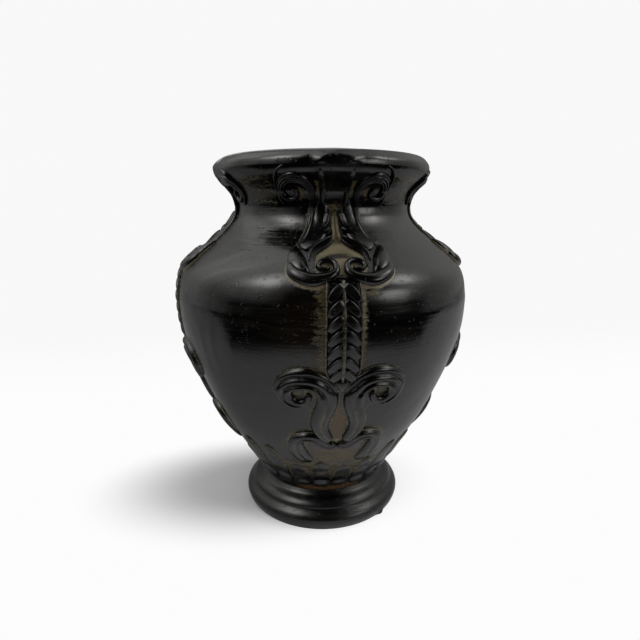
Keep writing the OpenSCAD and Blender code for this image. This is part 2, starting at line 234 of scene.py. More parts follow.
# A point in the bend between the floor and the wall inside, as shares of the bend and of its rise
BEND_PLACE = (0.6, 0.25)
# Radius in millimetres below which a point lies on the axis, and reaches in metres that weld points
ON_AXIS = 1e-6
TURNED_WELD = 2e-6
RELIEF_WELD = 1e-6
# Edges of a turned piece that are sharper than this stay sharp, in degrees
SHARP_ANGLE = 40
# How deep under the wall and how far below the waist a point still counts as outside
SKIN_DEPTH = 2
WAIST_MARGIN = 0.1

# The drip on the foot: angle and height, size, how far it stands out, and where it sets in past the spigot
DRIP_PLACE = (41, 3.4)
DRIP_SIZE = (2.6, 2.6)
DRIP_OUT = 1.7
DRIP_SETS_IN = (8, 12)
# The bump on the lip: columns of points, distance from the mouth, and how its swell leans and peaks
BOSS_COLUMNS = 81
BOSS_CLEAR = 1
BOSS_LEAN = 0.8
BOSS_PEAK = 1.2
# Its knobs: angle from the middle and share of the way up, size, then the shares of swell and knobs
KNOB_PLACE = (7.2, 0.45)
KNOB_SIZE = (2.6, 0.12)
BOSS_SWELL = 0.85
BOSS_KNOBS = 0.4
# How full the domes of the strips are, where 2 is a round and more is flatter
ROUND = 2.2
BLADE_ROUND = 2.6
LOBE_ROUND = 2.4
LYRE_ROUND = 2.5
BRACKET_ROUND = 3
PLATE_ROUND = 8
PETAL_ROUND = 2
# Ribs and channel of a strap: height, place and width of the ribs, depth of the channel under the wall
STRAP_RIB = 0.95
STRAP_RIB_PLACE = (0.82, 0.15)
STRAP_CHANNEL = 0.1
# Fine grooves in a neck scroll: places across, width, depth, and where they begin and end along it
NECK_GROOVES = (-0.5, 0, 0.5)
NECK_GROOVE_WIDTH = 0.12
NECK_GROOVE_DEPTH = 0.24
NECK_GROOVE_ENDS = ((0.28, 0.42), (0.7, 0.85))
# Crest of a leaf lobe: share of the height on its flanks, place and width of the crest
LOBE_FLANK = 0.5
LOBE_CREST = (-0.45, 0.28)
# Wash in the groove of a lyre scroll, and where its stem ends
LYRE_GROOVE_WASH = 3.6
LYRE_STEM_ENDS = (0.24, 0.36)
# Channel along a bracket: depth, place and width, and where it ends
BRACKET_CHANNEL = 0.3
BRACKET_CHANNEL_PLACE = (-0.1, 0.2)
BRACKET_CHANNEL_ENDS = (0.75, 0.95)
# How far the folds of a petal sag at its sides, and how petals differ in height and relief
PETAL_SAG = 0.12
PETAL_UNEVENNESS = 7.3
PETAL_TOP_CHANGE = 2.5
PETAL_RELIEF_CHANGE = 0.25
# Paint on a petal: flanks, wash, wash on the flanks, line, and where wash and line rise along it
PETAL_FLANK = (0.6, 1)
PETAL_WASH = 0.12
PETAL_EDGE_WASH = 0.4
PETAL_LINE = 0.25
PETAL_WASH_RISE = (0.25, 0.65)
PETAL_LINE_RISE = (0.5, 0.8)
# Where the ochre line lies on a strip: shares of the relief, shares of the half width
LINE_LIFT = (0.12, 0.5)
FLANK = (0.6, 0.85)

# Brown fields in the middle of a panel, from below: height, half width
BELL = ((182, 6), (183.5, 12), (186, 14.8), (189.5, 14.8), (192.3, 13.4), (194.3, 10.4), (196.3, 6.4),
        (199.3, 2.6), (201.5, 1.6), (206, 1), (216, 0.8))
TEARDROP = ((82.3, 0.2), (86, 3.6), (92, 5), (100, 3.1), (105.7, 1.4), (108.7, 0.3))
CUP = ((58, 5), (60.5, 13), (64, 16), (70, 14), (74, 8), (76, 2))
# Half width that keeps a field from heights above and below it, and the softness of the fields' edges
OUTSIDE_FIELD = -9
BELL_SOFT = 0.7
DROP_SOFT = 0.6
CUP_SOFT = 3
# The line round the bell: reach out and in from its edge, softness, and bands of the line at and in the bell
BELL_LINE_OUT = 0.9
BELL_LINE_IN = 0.5
BELL_LINE_SOFT = 0.5
BELL_EDGE_BAND = (196, 214, 2)
BELL_LINE_BAND = (184, 199, 2)
# The dark crescent in the bell: height, how it hangs at the sides, size, how much it covers
CRESCENT_Z = 192.6
CRESCENT_BEND = 0.012
CRESCENT_SIZE = (8.5, 1.2)
CRESCENT_COVER = 0.95
# The dark blob on the teardrop and the warm spot beside the bracket: place, size
BLOB = ((-3.2, 100.5), (1.3, 1.4))
WARM_SPOT = ((30, 70), (3, 3))
# Strengths of the wash, of the ochre line and of the warm wash in the fields
WASH = {"drop": 0.5, "cup": 0.62, "strap": 0.85, "neck": 0.34, "skirt": 0.6}
LINE = {"bell_edge": 0.85, "bell": 0.62, "braid": 0.5}
WARM = {"drop": 0.95, "cup": 0.25, "stain": 0.05}
# Wash beside a braid, left and right: strength, where it begins to fade, where it ends
BRAID_SIDES = ((0.64, 10, 23), (0.85, 8.8, 15.8))
# Bands of paint: from, to, softness
BRAID_BAND = (129, 179, 3)
BRAID_LINE_ACROSS = (9, 12.4, 1.2)
BRAID_LINE_BAND = (150, 178, 6)
STRAP_BAND = (223, 239, 2.5)
STRAP_ACROSS = (-2.4, 2.4, 1)
NECK_BAND = (219, 239, 3)
WAIST_BAND = (26, 31, 1)
STAIN_ACROSS = (-38, -12, 10)
STAIN_BAND = (136, 172, 10)
# Across the painted shadow line over the bracket: from, to, softness
SHADOW_LINE_ACROSS = (9.5, 18.5, 1)
# Where paint rises or fades: from, to
STEM_ENDS = (216, 223)
BRACKET_TIPS = (60, 70)
NECK_SIDES = (30, 35)
WAIST_SIDES = (20, 34)
SKIRT_TOP = (55, 66)
SKIRT_RISE = (34, 44)
# How the top of the skirt tilts with the distance from the middle, and its strength low down
SKIRT_TILT = 0.1
SKIRT_LOW = 0.4
# The strip of wash along the side of a strap: height, angle
STRAP_SIDE = ((225, 6.8), (238, 9.4))
# A painted shadow line over the bracket, left bare of wash and line so that the black glaze stands for the
# shade there: height, tilt, the angle where it starts, width
SHADOW_LINE_Z = 88.2
SHADOW_LINE_TILT = 0.35
SHADOW_LINE_FROM = 9.8
SHADOW_LINE_WIDTH = 0.8
# Spots of wash: how the place across is measured, strength, place across and height, size
WASH_SPOTS = (("right", 0.9, (16, 174.6), (5, 2.2)), ("apart", 1, (24.6, 117.2), (3.2, 3)),
              ("degrees", 0.85, (19, 226), (3, 3.6)), ("apart", 0.6, (0, 218), (9, 4)))
# Bands of wash across a panel: strength, lowest, highest, softness, where they begin to fade, where they end
WASH_BANDS = ((0.55, 88, 110, 5, 12, 27), (0.6, 82, 91, 3, 16, 34))
# Paint along runs of relief: strength and reach of the line, strength and reach of the wash
RUN_PAINT = {"rope": (1, 1, 0.6, 1.4), "neck": (0.6, 0.7, 0.5, 1.2), "lyre": (0.45, 0.7, 0.45, 1.5),
             "bracket": (0.6, 0.8, 0.65, 3.2)}
# The gap between points of a run that paint follows, and a distance that is out of its reach
PAINT_GAP = 0.8
FAR_AWAY = 99.0
# How dull the foot and the brown fields are
FOOT_DULLNESS = 1.1
FIELD_DULLNESS = 1.6

# How nodes are set out in a tree
NODES_IN_ROW = 8
NODE_WIDTH = 220
NODE_HEIGHT = 260
# Streaks in the glaze and the wash: scales along x, y and z, detail, roughness
RINGS = ((26, 26, 520), 2, 0.5)
RIPPLES = ((12, 12, 26), 2, 0.5)
CLOUDS = ((14, 14, 60), 3, 0.6)
STROKES = ((45, 45, 330), 5, 0.62)
WASH_STROKES = ((90, 90, 520), 5, 0.65)
# Even grain in the glaze and the wash: scale, detail, roughness
GRIT = (1100, 2, 0.6)
GRIT_PATCHES = (17, 2, 0.5)
SPECKS = (420, 1, 0.5)
SWELL = (55, 1, 0.4)
DIMPLES = (150, 1, 0.4)
WASH_GRAIN = (650, 3, 0.6)
# Values of that noise between which an effect sets in
RIPPLED = (0.35, 0.65)
GRITTY = (0.48, 0.64)
SPECKLED = (0.66, 0.74)
DULLED = (0.3, 0.7)
VEILED = (0.47, 0.72)
WASHED = (0.25, 0.7)
WASH_DEPTHS = (0.3, 0.7)
# Heights in metres between which the neck's stronger swell sets in
UPPER_PART = (0.18, 0.222)
# Shares of the bump: what an effect adds where it is full, what is there everywhere
RING_HEIGHT = (0.2, 0.08)
GRIT_HEIGHT = (0.42, 0.06)
SWELL_HEIGHT = (1.5, 0.9)
SPECK_HEIGHT = 0.22
DIMPLE_HEIGHT = 0.22
WASH_HEIGHT = 0.5
BUMP_STRENGTH = 0.9
BUMP_DISTANCE = 0.0005
# Shares of the rings in the dullness, of the strokes in the veil and of the strokes in the wash's edge
RING_SHARE = 0.6
STROKE_SHARE = 0.6
WASH_STROKE_SHARE = 0.65
# How soon the edge of a wash turns ragged, and how ragged wash and line are
WASH_PRESENCE = 4
WASH_RAGGEDNESS = 2
LINE_RAGGEDNESS = 0.9
# The darkest wash as a share of its colour, the cover of the line, and of the warm wash as it deepens
DARK_WASH = 0.45
LINE_COVER = 0.8
WARM_COVER = (0.5, 0.45)
# Roughness of the finishes, and what brush marks and dullness add to it
VESSEL_ROUGHNESS = 0.09
RELIEF_ROUGHNESS = 0.17
PETAL_ROUGHNESS = 0.2
WASH_ROUGHNESS = 0.32
MARK_ROUGHNESS = 0.08
DULL_ROUGHNESS = 0.16
# Wash that wear leaves all over the petals
PETAL_WEAR = 0.12
GLAZE_IOR = 1.39
COAT_WEIGHT = 0.16
COAT_ROUGHNESS = 0.08

# The white floor: size in metres, colour in the shadow, where the shadow fades, where the backdrop is met
FLOOR_SIZE = 7
SHADED_FLOOR = (0.95, 0.95, 0.95, 1)
SHADOW_FADES = (0.3, 1)
BACKDROP_MEETS = (0.5, 0.2)
# Faces of the mirrored floor and room, and how far that floor lies over the white one
MIRROR_FACES = (180, 40)
ROOM_FACES = (72, 36)
MIRROR_LIFT = 0.002
# Light of the room's sides: elevation where full, light added there, light low down, fall behind the pot
LEFT_LIGHT = (58, 1.3, 0.47, -118, -155, 0.25)
RIGHT_LIGHT = (50, 0.5, 0.42, 105, 155, 0.35)
# Azimuths between which the sides begin
LEFT_SIDE = (-30, -60)
RIGHT_SIDE = (45, 80)
# The dark in front: azimuths where it begins and ends, elevations over which it fades
AHEAD_FROM = (-94, -72)
AHEAD_TO = (82, 62)
AHEAD_RISE = (14, 0)
# Folds of light in the left side: scale, detail, what they add and what is there everywhere
CURTAIN_SCALE = 0.16
CURTAIN_DETAIL = 2
CURTAIN_SHARES = (1.2, 0.4)
# Bright patches of the room: azimuth, elevation, width, height, light
ROOM_PATCHES = ((-62, 52, 17, 15, 6), (48, 19, 13, 9, 4.8), (72, 43, 14, 10, 6))
ROOM_DIM = 0.006
ROOM_TINT = (1, 0.99, 0.97, 1)
# Lamps: name, azimuth, elevation, distance, size, light from each point
LAMPS = (("right_window", 72, 44, 1.2, (0.9, 0.8), 5), ("left_fill", -66, 54, 1.3, (0.9, 0.7), 1.2))
AMBIENT_GREY = (0.4, 0.4, 0.4, 1)
# The camera: place, degrees that it looks down and turns, sensor and lens in millimetres, nearest distance
CAMERA_PLACE = (-0.0403, -0.3376, 0.219)
CAMERA_DOWN = 13.5
CAMERA_TURN = -6.56
SENSOR_WIDTH = 36
LENS = 26.7
NEAREST = 0.01


class UrnSizes(bpy.types.PropertyGroup):
    height: bpy.props.FloatProperty(
        name="Height", description="From the base to the top of the lip",
        default=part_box("rim_lip")[1].z, unit="LENGTH")
    belly_radius: bpy.props.FloatProperty(
        name="Belly radius", description="Where the pot is widest",
        default=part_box("body")[1].x, unit="LENGTH")
    waist_radius: bpy.props.FloatProperty(
        name="Waist radius", description="Between the foot and the belly",
        default=0.0442, unit="LENGTH")
    throat_radius: bpy.props.FloatProperty(
        name="Throat radius", description="The narrowest place of the neck",
        default=0.0586, unit="LENGTH")
    lip_radius: bpy.props.FloatProperty(
        name="Lip radius", description="Where the lip is widest",
        default=0.0718, unit="LENGTH")
    foot_radius: bpy.props.FloatProperty(
        name="Foot radius", description="Where the foot is widest",
        default=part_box("foot_ring")[1].x, unit="LENGTH")
    wall: bpy.props.FloatProperty(
        name="Wall", description="Thickness of the wall",
        default=0.0065, unit="LENGTH")


class UrnRelief(bpy.types.PropertyGroup):
    scroll: bpy.props.FloatProperty(
        name="Scrolls", description="Height of the scrolls over the wall",
        default=0.0036, unit="LENGTH")
    leaf: bpy.props.FloatProperty(
        name="Leaves", description="Height of the leaves and petals over the wall",
        default=0.0032, unit="LENGTH")
    boss: bpy.props.FloatProperty(
        name="Lip bump", description="Height of the bump on the lip",
        default=0.002, unit="LENGTH")
    braid_rows: bpy.props.IntProperty(
        name="Braid rows", description="Rows of leaves in a braid", default=6, min=5, max=7)
    petals: bpy.props.IntProperty(
        name="Petals", description="Petals in a quarter of the waist", default=6, min=6, max=8)


class UrnGlaze(bpy.types.PropertyGroup):
    glaze: bpy.props.FloatVectorProperty(
        name="Glaze", description="The black glaze", subtype="COLOR", size=3,
        default=(0.0004, 0.0004, 0.0004))
    thin_glaze: bpy.props.FloatVectorProperty(
        name="Thin glaze", description="Where the black glaze is brushed thin", subtype="COLOR", size=3,
        default=(0.005, 0.0044, 0.0034))
    wash: bpy.props.FloatVectorProperty(
        name="Wash", description="The brown wash beside the relief", subtype="COLOR", size=3,
        default=(0.047, 0.036, 0.0125))
    line: bpy.props.FloatVectorProperty(
        name="Edge line", description="The ochre line along the edges of the relief",
        subtype="COLOR", size=3, default=(0.14, 0.12, 0.076))
    warm: bpy.props.FloatVectorProperty(
        name="Warm wash", description="The orange brown of the waist", subtype="COLOR", size=3,
        default=(0.062, 0.033, 0.012))


def lerp(a, b, t):
    return a + (b - a) * t


def ease(low, high, x):
    """0 at low, 1 at high, smooth between them."""
    t = np.clip((x - low) / (high - low), 0, 1)
    return t * t * (3 - 2 * t)


def from_table(table, x, place=1, outside=None):
    """The value in this place of a table's rows, read between the rows at x."""
    values = [row[place] for row in table]
    return np.interp(x, [row[0] for row in table], values, left=outside, right=outside)


def smooth_run(stations, steps):
    """Smooth curve through the stations, with this many steps from each to the next."""
    p = np.asarray(stations, float)
    last = len(p) - 1
    i = np.repeat(np.arange(last), steps)
    t = np.tile(np.arange(steps) / steps, last)[:, None]
    a = p[np.maximum(i - 1, 0)]
    b = p[i]
    c = p[i + 1]
    d = p[np.minimum(i + 2, last)]
    bend = (2 * a - 5 * b + 4 * c - d) * t ** 2 / 2
    twist = (3 * b - a - 3 * c + d) * t ** 3 / 2
    return np.vstack([b + (c - a) * t / 2 + bend + twist, p[last:]])


class Wall:
    """The outer wall of the pot in millimetres: a radius for each height."""

    def __init__(self, sizes, relief):
        self.scroll = relief.scroll / (LAYOUT_SCROLL * MM)
        self.leaf = relief.leaf / MM
        self.level = sizes.height / (LAYOUT_HEIGHT * MM)
        self.thickness = sizes.wall / MM
        self.waist_r = sizes.waist_radius / MM
        self.foot_r = sizes.foot_radius / MM
        self.lip_r = sizes.lip_radius / MM
        self.mouth_r = self.lip_r - MOUTH_INSET
        heights = [self.level * z for z in (WAIST_Z, BELLY_Z, THROAT_Z, LIP_Z)]
        radii = (self.waist_r, sizes.belly_radius / MM, sizes.throat_radius / MM, self.lip_r)
        stations = []
        for k, shares in enumerate((WAIST_TO_BELLY, BELLY_TO_THROAT, THROAT_TO_LIP)):
            for rise, change in shares:
                station = (lerp(heights[k], heights[k + 1], rise), lerp(radii[k], radii[k + 1], change))
                stations.append(station)
        run = smooth_run(stations, OUTLINE_STEPS)
        self.heights = run[:, 0]
        self.radii = run[:, 1]

    def radius(self, z):
        return np.interp(z, self.heights, self.radii)

    def slope(self, z):
        half = 1.0
        return (self.radius(z + half) - self.radius(z - half)) / (2 * half)

    def length(self, z):
        """Length along the wall of one millimetre of height."""
        return np.sqrt(1 + self.slope(z) ** 2)

    def degrees(self, z):
        """Degrees round the wall of one millimetre of width."""
        return 180 / (math.pi * self.radius(z))

    def cavity(self, z):
        return self.radius(z) - self.thickness * self.length(z)

    def even_heights(self, low, high, gap):
        fine = np.linspace(low, high, FINE_STEPS)
        travelled = np.concatenate([[0], np.cumsum(np.hypot(np.diff(fine), np.diff(self.radius(fine))))])
        count = max(2, int(round(travelled[-1] / gap)) + 1)
        return np.interp(np.linspace(0, travelled[-1], count), travelled, fine)

    def outer_run(self, low, high, gap):
        z = self.even_heights(low, high, gap)
        z = np.concatenate([z[:1], [low + SEAM_STEP], z[1:-1], [high - SEAM_STEP], z[-1:]])
        return list(zip(self.radius(z), z))

    def inner_run(self, low, high, gap):
        z = self.even_heights(low, high, gap)[::-1]
        return list(zip(self.cavity(z), z))

    def point(self, a, z, out):
        """Points in metres at these angles, heights and distances out from the wall."""
        slope = self.slope(z)
        k = np.sqrt(1 + slope ** 2)
        r = self.radius(z) + out / k
        return round_axis(a, r, z - out * slope / k)


def round_axis(a, r, z):
    """Points in metres at these angles, radii and heights in millimetres."""
    turn = np.radians(a)
    return np.stack([r * np.sin(turn), -r * np.cos(turn), z], axis=-1) * MM


def pot_wall():
    return Wall(bpy.context.scene.urn_sizes, bpy.context.scene.urn_relief)


# Runs of the relief pieces

def laid(wall, stations):
    run = smooth_run(stations, RUN_STEPS)
    run[:, 1] *= wall.level
    run[:, 3] *= wall.scroll
    return run


def laid_leaf(wall, stations):
    """As laid, for leaves and petals, whose relief is given as a share."""
    run = laid(wall, stations)
    run[:, 3] *= wall.leaf / wall.scroll
    return run


def coil(wall, eye, stations, rise=1.0):
    """Run that winds round an eye through the stations."""
    run = smooth_run(stations, COIL_STEPS)
    phi = np.radians(run[:, 0])
    z0 = eye[1] * wall.level
    a = eye[0] + run[:, 1] * np.cos(phi) * wall.degrees(z0)
    z = z0 + rise * run[:, 1] * np.sin(phi) / wall.length(z0)
    return np.stack([a, z, run[:, 2], run[:, 3] * wall.scroll], axis=-1)


def even_run(wall, run, gap):
    """The same run with rows an even distance apart along the wall, and its kinks eased."""
    a = run[:, 0] / wall.degrees(run[:, 1])
    step = np.hypot(np.diff(a), np.diff(run[:, 1]) * wall.length(run[:-1, 1]))
    travelled = np.concatenate([[0], np.cumsum(step)])
    count = max(FEWEST_ROWS, int(round(travelled[-1] / gap)) + 1)
    even = np.linspace(0, travelled[-1], count)
    run = np.stack([np.interp(even, travelled, run[:, k]) for k in range(4)], axis=-1)
    for _ in range(EASING_PASSES):
        run[1:-1] = (run[:-2] + 2 * run[1:-1] + run[2:]) / 4
    return run, travelled[-1]


def neck_scroll_run(wall):
    return np.vstack([laid(wall, NECK_STEM), coil(wall, NECK_EYE, NECK_COIL)])


def rope_run(wall):
    return np.vstack([laid(wall, ROPE_ARM), coil(wall, ROPE_EYE, ROPE_COIL, ROPE_COIL_RISE)])


def lyre_run(wall):
    return np.vstack([laid(wall, LYRE_STEM), coil(wall, LYRE_EYE, LYRE_COIL)])


def braid_leaf_run(wall, row):
    return laid_leaf(wall, [(a, row - drop, width, relief) for a, drop, width, relief in BRAID_LEAF])


def petal_run(wall, a, top, pitch):
    run = []
    for rise, width, relief in PETAL_STATIONS:
        z = lerp(PETAL_FOOT, top, rise)
        run.append((a, z, width * PETAL_FILL * pitch / wall.degrees(z * wall.level), relief))
    return laid_leaf(wall, run)


def braid_rows():
    rows = bpy.context.scene.urn_relief.braid_rows
    return [lerp(BRAID_FIRST, BRAID_LAST, k / (rows - 1)) for k in range(rows)]


def petal_angles(tall):
    count = bpy.context.scene.urn_relief.petals
    pitch = PANEL_WIDTH / count
    angles = [(k + 0.5) * pitch - PANEL_WIDTH / 2 for k in range(count)]
    return [a for a in angles if (abs(a) > TALL_FROM) == tall], pitch


# Where the paint lies on the pot

def gap_to(wall, a, z, run):
    """Millimetres along the wall from points to the edge of a run of relief, 0 under it."""
    run, _ = even_run(wall, run, PAINT_GAP)
    gap = np.full(len(a), FAR_AWAY)
    r = wall.radius(z)
    k = wall.length(z)
    for angle, height, half_width, _ in run:
        near = np.hypot(np.radians(a - angle) * r, (z - height) * k) - half_width
        gap = np.minimum(gap, near)
    return np.maximum(gap, 0)


def field(z, x, stations, soft):
    """Mask of a shape upright in the middle of a panel, from its half widths at some heights."""
    return ease(-soft, soft, from_table(stations, z, outside=OUTSIDE_FIELD) - x)


def band(x, low, high, soft):
    return ease(low - soft, low + soft, x) * (1 - ease(high - soft, high + soft, x))


def spot(x, z, centre, size):
    return np.exp(-((x - centre[0]) / size[0]) ** 2 - ((z - centre[1]) / size[1]) ** 2)


def dip(u, centre, width):
    return np.exp(-((u - centre) / width) ** 2)


def paint_pot(wall, a, z):
    """Amounts of wash, edge line, warm wash and dullness on the wall, at angles in a panel and heights."""
    side = np.abs(a)
    x = side / wall.degrees(z)
    signed = a / wall.degrees(z)
    gaps = {
        "rope": gap_to(wall, side, z, rope_run(wall)),
        "neck": gap_to(wall, side, z, neck_scroll_run(wall)),
        "lyre": gap_to(wall, side, z, lyre_run(wall)),
        "bracket": gap_to(wall, side, z, laid(wall, BRACKET_ARM)),
    }
    z = z / wall.level
    on_stem = 1 - ease(*STEM_ENDS, z)
    line_masks = {"neck": on_stem, "bracket": ease(*BRACKET_TIPS, z)}
    wash_masks = {"neck": on_stem}
    lines = []
    washes = []
    for name, (line_strength, line_reach, wash_strength, wash_reach) in RUN_PAINT.items():
        line = np.exp(-(gaps[name] / line_reach) ** 2)
        wash = np.exp(-(gaps[name] / wash_reach) ** 2)
        lines.append(line_strength * line_masks.get(name, 1) * line)
        washes.append(wash_strength * wash_masks.get(name, 1) * wash)

    bell = field(z, x, BELL, BELL_SOFT)
    crescent = spot(x, z, (0, CRESCENT_Z - CRESCENT_BEND * x ** 2), CRESCENT_SIZE)
    bell_edge = field(z, x - BELL_LINE_OUT, BELL, BELL_LINE_SOFT)
    bell_edge = bell_edge - field(z, x + BELL_LINE_IN, BELL, BELL_LINE_SOFT)
    lines.append(LINE["bell_edge"] * bell_edge * band(z, *BELL_EDGE_BAND))
    lines.append(LINE["bell"] * bell * (1 - crescent) * band(z, *BELL_LINE_BAND))
    washes.append(bell * (1 - CRESCENT_COVER * crescent))

    drop = field(z, x, TEARDROP, DROP_SOFT) * (1 - spot(signed, z, *BLOB))
    cup = field(z, x, CUP, CUP_SOFT)
    washes.append(WASH["drop"] * drop)
    washes.append(WASH["cup"] * cup)

    beside = []
    for strength, fade, end in BRAID_SIDES:
        beside.append(strength * (1 - ease(fade, end, x)))
    washes.append(band(z, *BRAID_BAND) * np.where(signed < 0, beside[0], beside[1]))
    lines.append(LINE["braid"] * band(signed, *BRAID_LINE_ACROSS) * band(z, *BRAID_LINE_BAND))

    from_strap = side - from_table(STRAP_SIDE, z)
    washes.append(WASH["strap"] * band(z, *STRAP_BAND) * band(from_strap, *STRAP_ACROSS))
    washes.append(WASH["neck"] * band(z, *NECK_BAND) * ease(*NECK_SIDES, side))
    across = {"right": signed, "apart": x, "degrees": side}
    for measure, strength, centre, size in WASH_SPOTS:
        washes.append(strength * spot(across[measure], z, centre, size))
    for strength, low, high, soft, fade, end in WASH_BANDS:
        washes.append(strength * (band(z, low, high, soft) * (1 - ease(fade, end, x))))
    skirt = (1 - ease(*SKIRT_TOP, z + SKIRT_TILT * x)) * lerp(SKIRT_LOW, 1, ease(*SKIRT_RISE, z))
    washes.append(WASH["skirt"] * skirt)

    warms = [band(z, *WAIST_BAND) * (1 - ease(*WAIST_SIDES, side)), spot(signed, z, *WARM_SPOT)]
    warms += [WARM["drop"] * drop, WARM["cup"] * cup]
    warms.append(WARM["stain"] * (band(signed, *STAIN_ACROSS) * band(z, *STAIN_BAND)))
    # Painted shadow line over the bracket: wash and line are taken off there, so the black glaze shows as
    # shade
    painted_shadow_line = band(side, *SHADOW_LINE_ACROSS) * dip(z, SHADOW_LINE_Z - SHADOW_LINE_TILT * (side - SHADOW_LINE_FROM), SHADOW_LINE_WIDTH)
    clear = 1 - painted_shadow_line
    dull = FIELD_DULLNESS * np.maximum(drop, cup)
    wash = np.maximum.reduce(washes) * clear
    line = np.maximum.reduce(lines) * clear
    return wash, line, np.maximum.reduce(warms), dull


# Meshes

def deselect_all():
    bpy.ops.object.select_all(action="DESELECT")


def select_only(piece):
    deselect_all()
    piece.select_set(True)
    bpy.context.view_layer.objects.active = piece


def named(piece, name):
    piece.name = name
    piece.data.name = name
    return piece


def points_of(piece):
    points = np.zeros(len(piece.data.vertices) * 3)
    piece.data.vertices.foreach_get("co", points)
    return points.reshape(-1, 3)


def set_points(piece, points):
    piece.data.vertices.foreach_set("co", points.ravel())
    piece.data.update()


def give(piece, name, values):
    layer = piece.data.attributes.get(name) or piece.data.attributes.new(name, "FLOAT", "POINT")
    layer.data.foreach_set("value", np.ascontiguousarray(values, dtype=np.float32))


def weld(reach, fill_ends=False):
    """In edit mode, merge the points that meet, fill open ends if asked, and point the faces outwards."""
    bpy.ops.mesh.select_all(action="SELECT")
    bpy.ops.mesh.remove_doubles(threshold=reach)
    bpy.ops.mesh.select_all(action="SELECT")
    if fill_ends:
        bpy.ops.mesh.fill_holes(sides=0)
        bpy.ops.mesh.select_all(action="SELECT")
    bpy.ops.mesh.normals_make_consistent(inside=False)
    bpy.ops.object.mode_set(mode="OBJECT")


def turned_piece(name, section, turns):
    """Spin a closed section, given as radius and height in millimetres, round the axis of the pot."""
    deselect_all()
    bpy.ops.mesh.primitive_circle_add(vertices=len(section), fill_type="NOTHING")
    piece = named(bpy.context.object, name)
    set_points(piece, np.array([(r * MM, 0, z * MM) for r, z in section]))
    on_axis = [abs(r) < ON_AXIS for r, _ in section]
    for edge in piece.data.edges:
        edge.select = all(on_axis[v] for v in edge.vertices)
    for vertex in piece.data.vertices:
        vertex.select = False
    closes_on_axis = sum(on_axis) > 1
    bpy.ops.object.mode_set(mode="EDIT")
    bpy.ops.mesh.select_mode(type="EDGE")
    if closes_on_axis:
        bpy.ops.mesh.delete(type="EDGE")
    bpy.ops.mesh.select_all(action="SELECT")
    bpy.ops.mesh.spin(steps=turns, angle=2 * math.pi, center=(0, 0, 0), axis=(0, 0, 1))
    weld(TURNED_WELD)
    return piece


def blank(name, columns, rows):
    """A flat sprig blank with this many columns and rows of faces, and the column and row of each point."""
    deselect_all()
    bpy.ops.mesh.primitive_grid_add(x_subdivisions=columns, y_subdivisions=rows, size=2)
    piece = named(bpy.context.object, name)
    flat = points_of(piece)
    i = np.rint((flat[:, 0] + 1) / 2 * columns).astype(int)
    j = np.rint((flat[:, 1] + 1) / 2 * rows).astype(int)
    return piece, i, j


def rolled(name, points, wash, line):
    """A blank rolled up through rows of points, with its long edges joined and its ends filled."""
    rows, columns = points.shape[:2]
    piece, i, j = blank(name, columns - 1, rows - 1)
    set_points(piece, points[j, i])
    give(piece, "wash", wash[j, i])
    give(piece, "line", line[j, i])
    give(piece, "warm", np.zeros(len(i)))
    select_only(piece)
    bpy.ops.object.mode_set(mode="EDIT")
    bpy.ops.mesh.select_mode(type="VERT")
    weld(RELIEF_WELD, fill_ends=True)
    return piece


def with_underside(face):
    """Distances out from the wall on a face, continued under the wall and back to its first edge."""
    under = np.full((len(face), len(UNDERSIDE)), -UNDER_WALL)
    under[:, -1] = face[:, 0]
    return np.hstack([face, under])


def strip(name, wall, run, profile, paint, gap, across, ends):
    """A strip of relief laid on the wall along a run, with rounded ends of these lengths.
    The profile gives shares of the relief, and the paint amounts of wash and edge line, from the share
    of the way along and the place across."""
    run, length = even_run(wall, run, gap)
    rows = len(run)
    t = np.linspace(0, 1, rows)[:, None]
    from_start = np.clip(t * length / ends[0], BLUNT_END, 1)
    from_end = np.clip((1 - t) * length / ends[1], BLUNT_END, 1)
    rounding = np.sqrt(1 - (1 - from_start) ** 2) * np.sqrt(1 - (1 - from_end) ** 2)
    before = np.vstack([run[:1], run[:-1]])
    after = np.vstack([run[1:], run[-1:]])
    z = run[:, 1]
    along = np.stack([(after[:, 0] - before[:, 0]) / wall.degrees(z),
                      (after[:, 1] - before[:, 1]) * wall.length(z)], axis=-1)
    along /= np.linalg.norm(along, axis=1, keepdims=True)
    side_a = (-along[:, 1] * wall.degrees(z))[:, None]
    side_z = (along[:, 0] / wall.length(z))[:, None]
    top = -np.cos(np.linspace(0, math.pi, across))[None, :]
    u = np.hstack([top, [UNDERSIDE]])
    shares = np.broadcast_to(profile(t, top), (rows, across))
    lift = run[:, 3:4] * shares * np.sqrt(rounding)
    out = with_underside(lift - EDGE_SINK * ease(EDGE_FROM, 1, np.abs(top)))
    reach = u * run[:, 2:3] * rounding
    points = wall.point(run[:, 0:1] + reach * side_a, run[:, 1:2] + reach * side_z, out)
    bare = np.zeros((rows, len(UNDERSIDE)))
    wash, line = [np.hstack([np.broadcast_to(layer, shares.shape), bare]) for layer in paint(t, top, shares)]
    return rolled(name, points, wash, line)


def joined(name, pieces):
    deselect_all()
    for piece in pieces:
        piece.select_set(True)
    bpy.context.view_layer.objects.active = pieces[0]
    if len(pieces) > 1:
        bpy.ops.object.join()
    return named(bpy.context.view_layer.objects.active, name)


def both_halves(piece):
    select_only(piece)
    mirror = piece.modifiers.new("other_half", "MIRROR")
    mirror.use_axis = (True, False, False)
    mirror.use_mirror_merge = False
    bpy.ops.object.modifier_apply(modifier=mirror.name)
    return piece


def turn_to_side(piece, k):
    piece.data.transform(Matrix.Rotation(math.radians(PANEL_WIDTH * k), 4, "Z"))


def hand_over(piece, node, material):
    piece.data.materials.clear()
    piece.data.materials.append(material)
    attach(piece, "root")
    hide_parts(node)


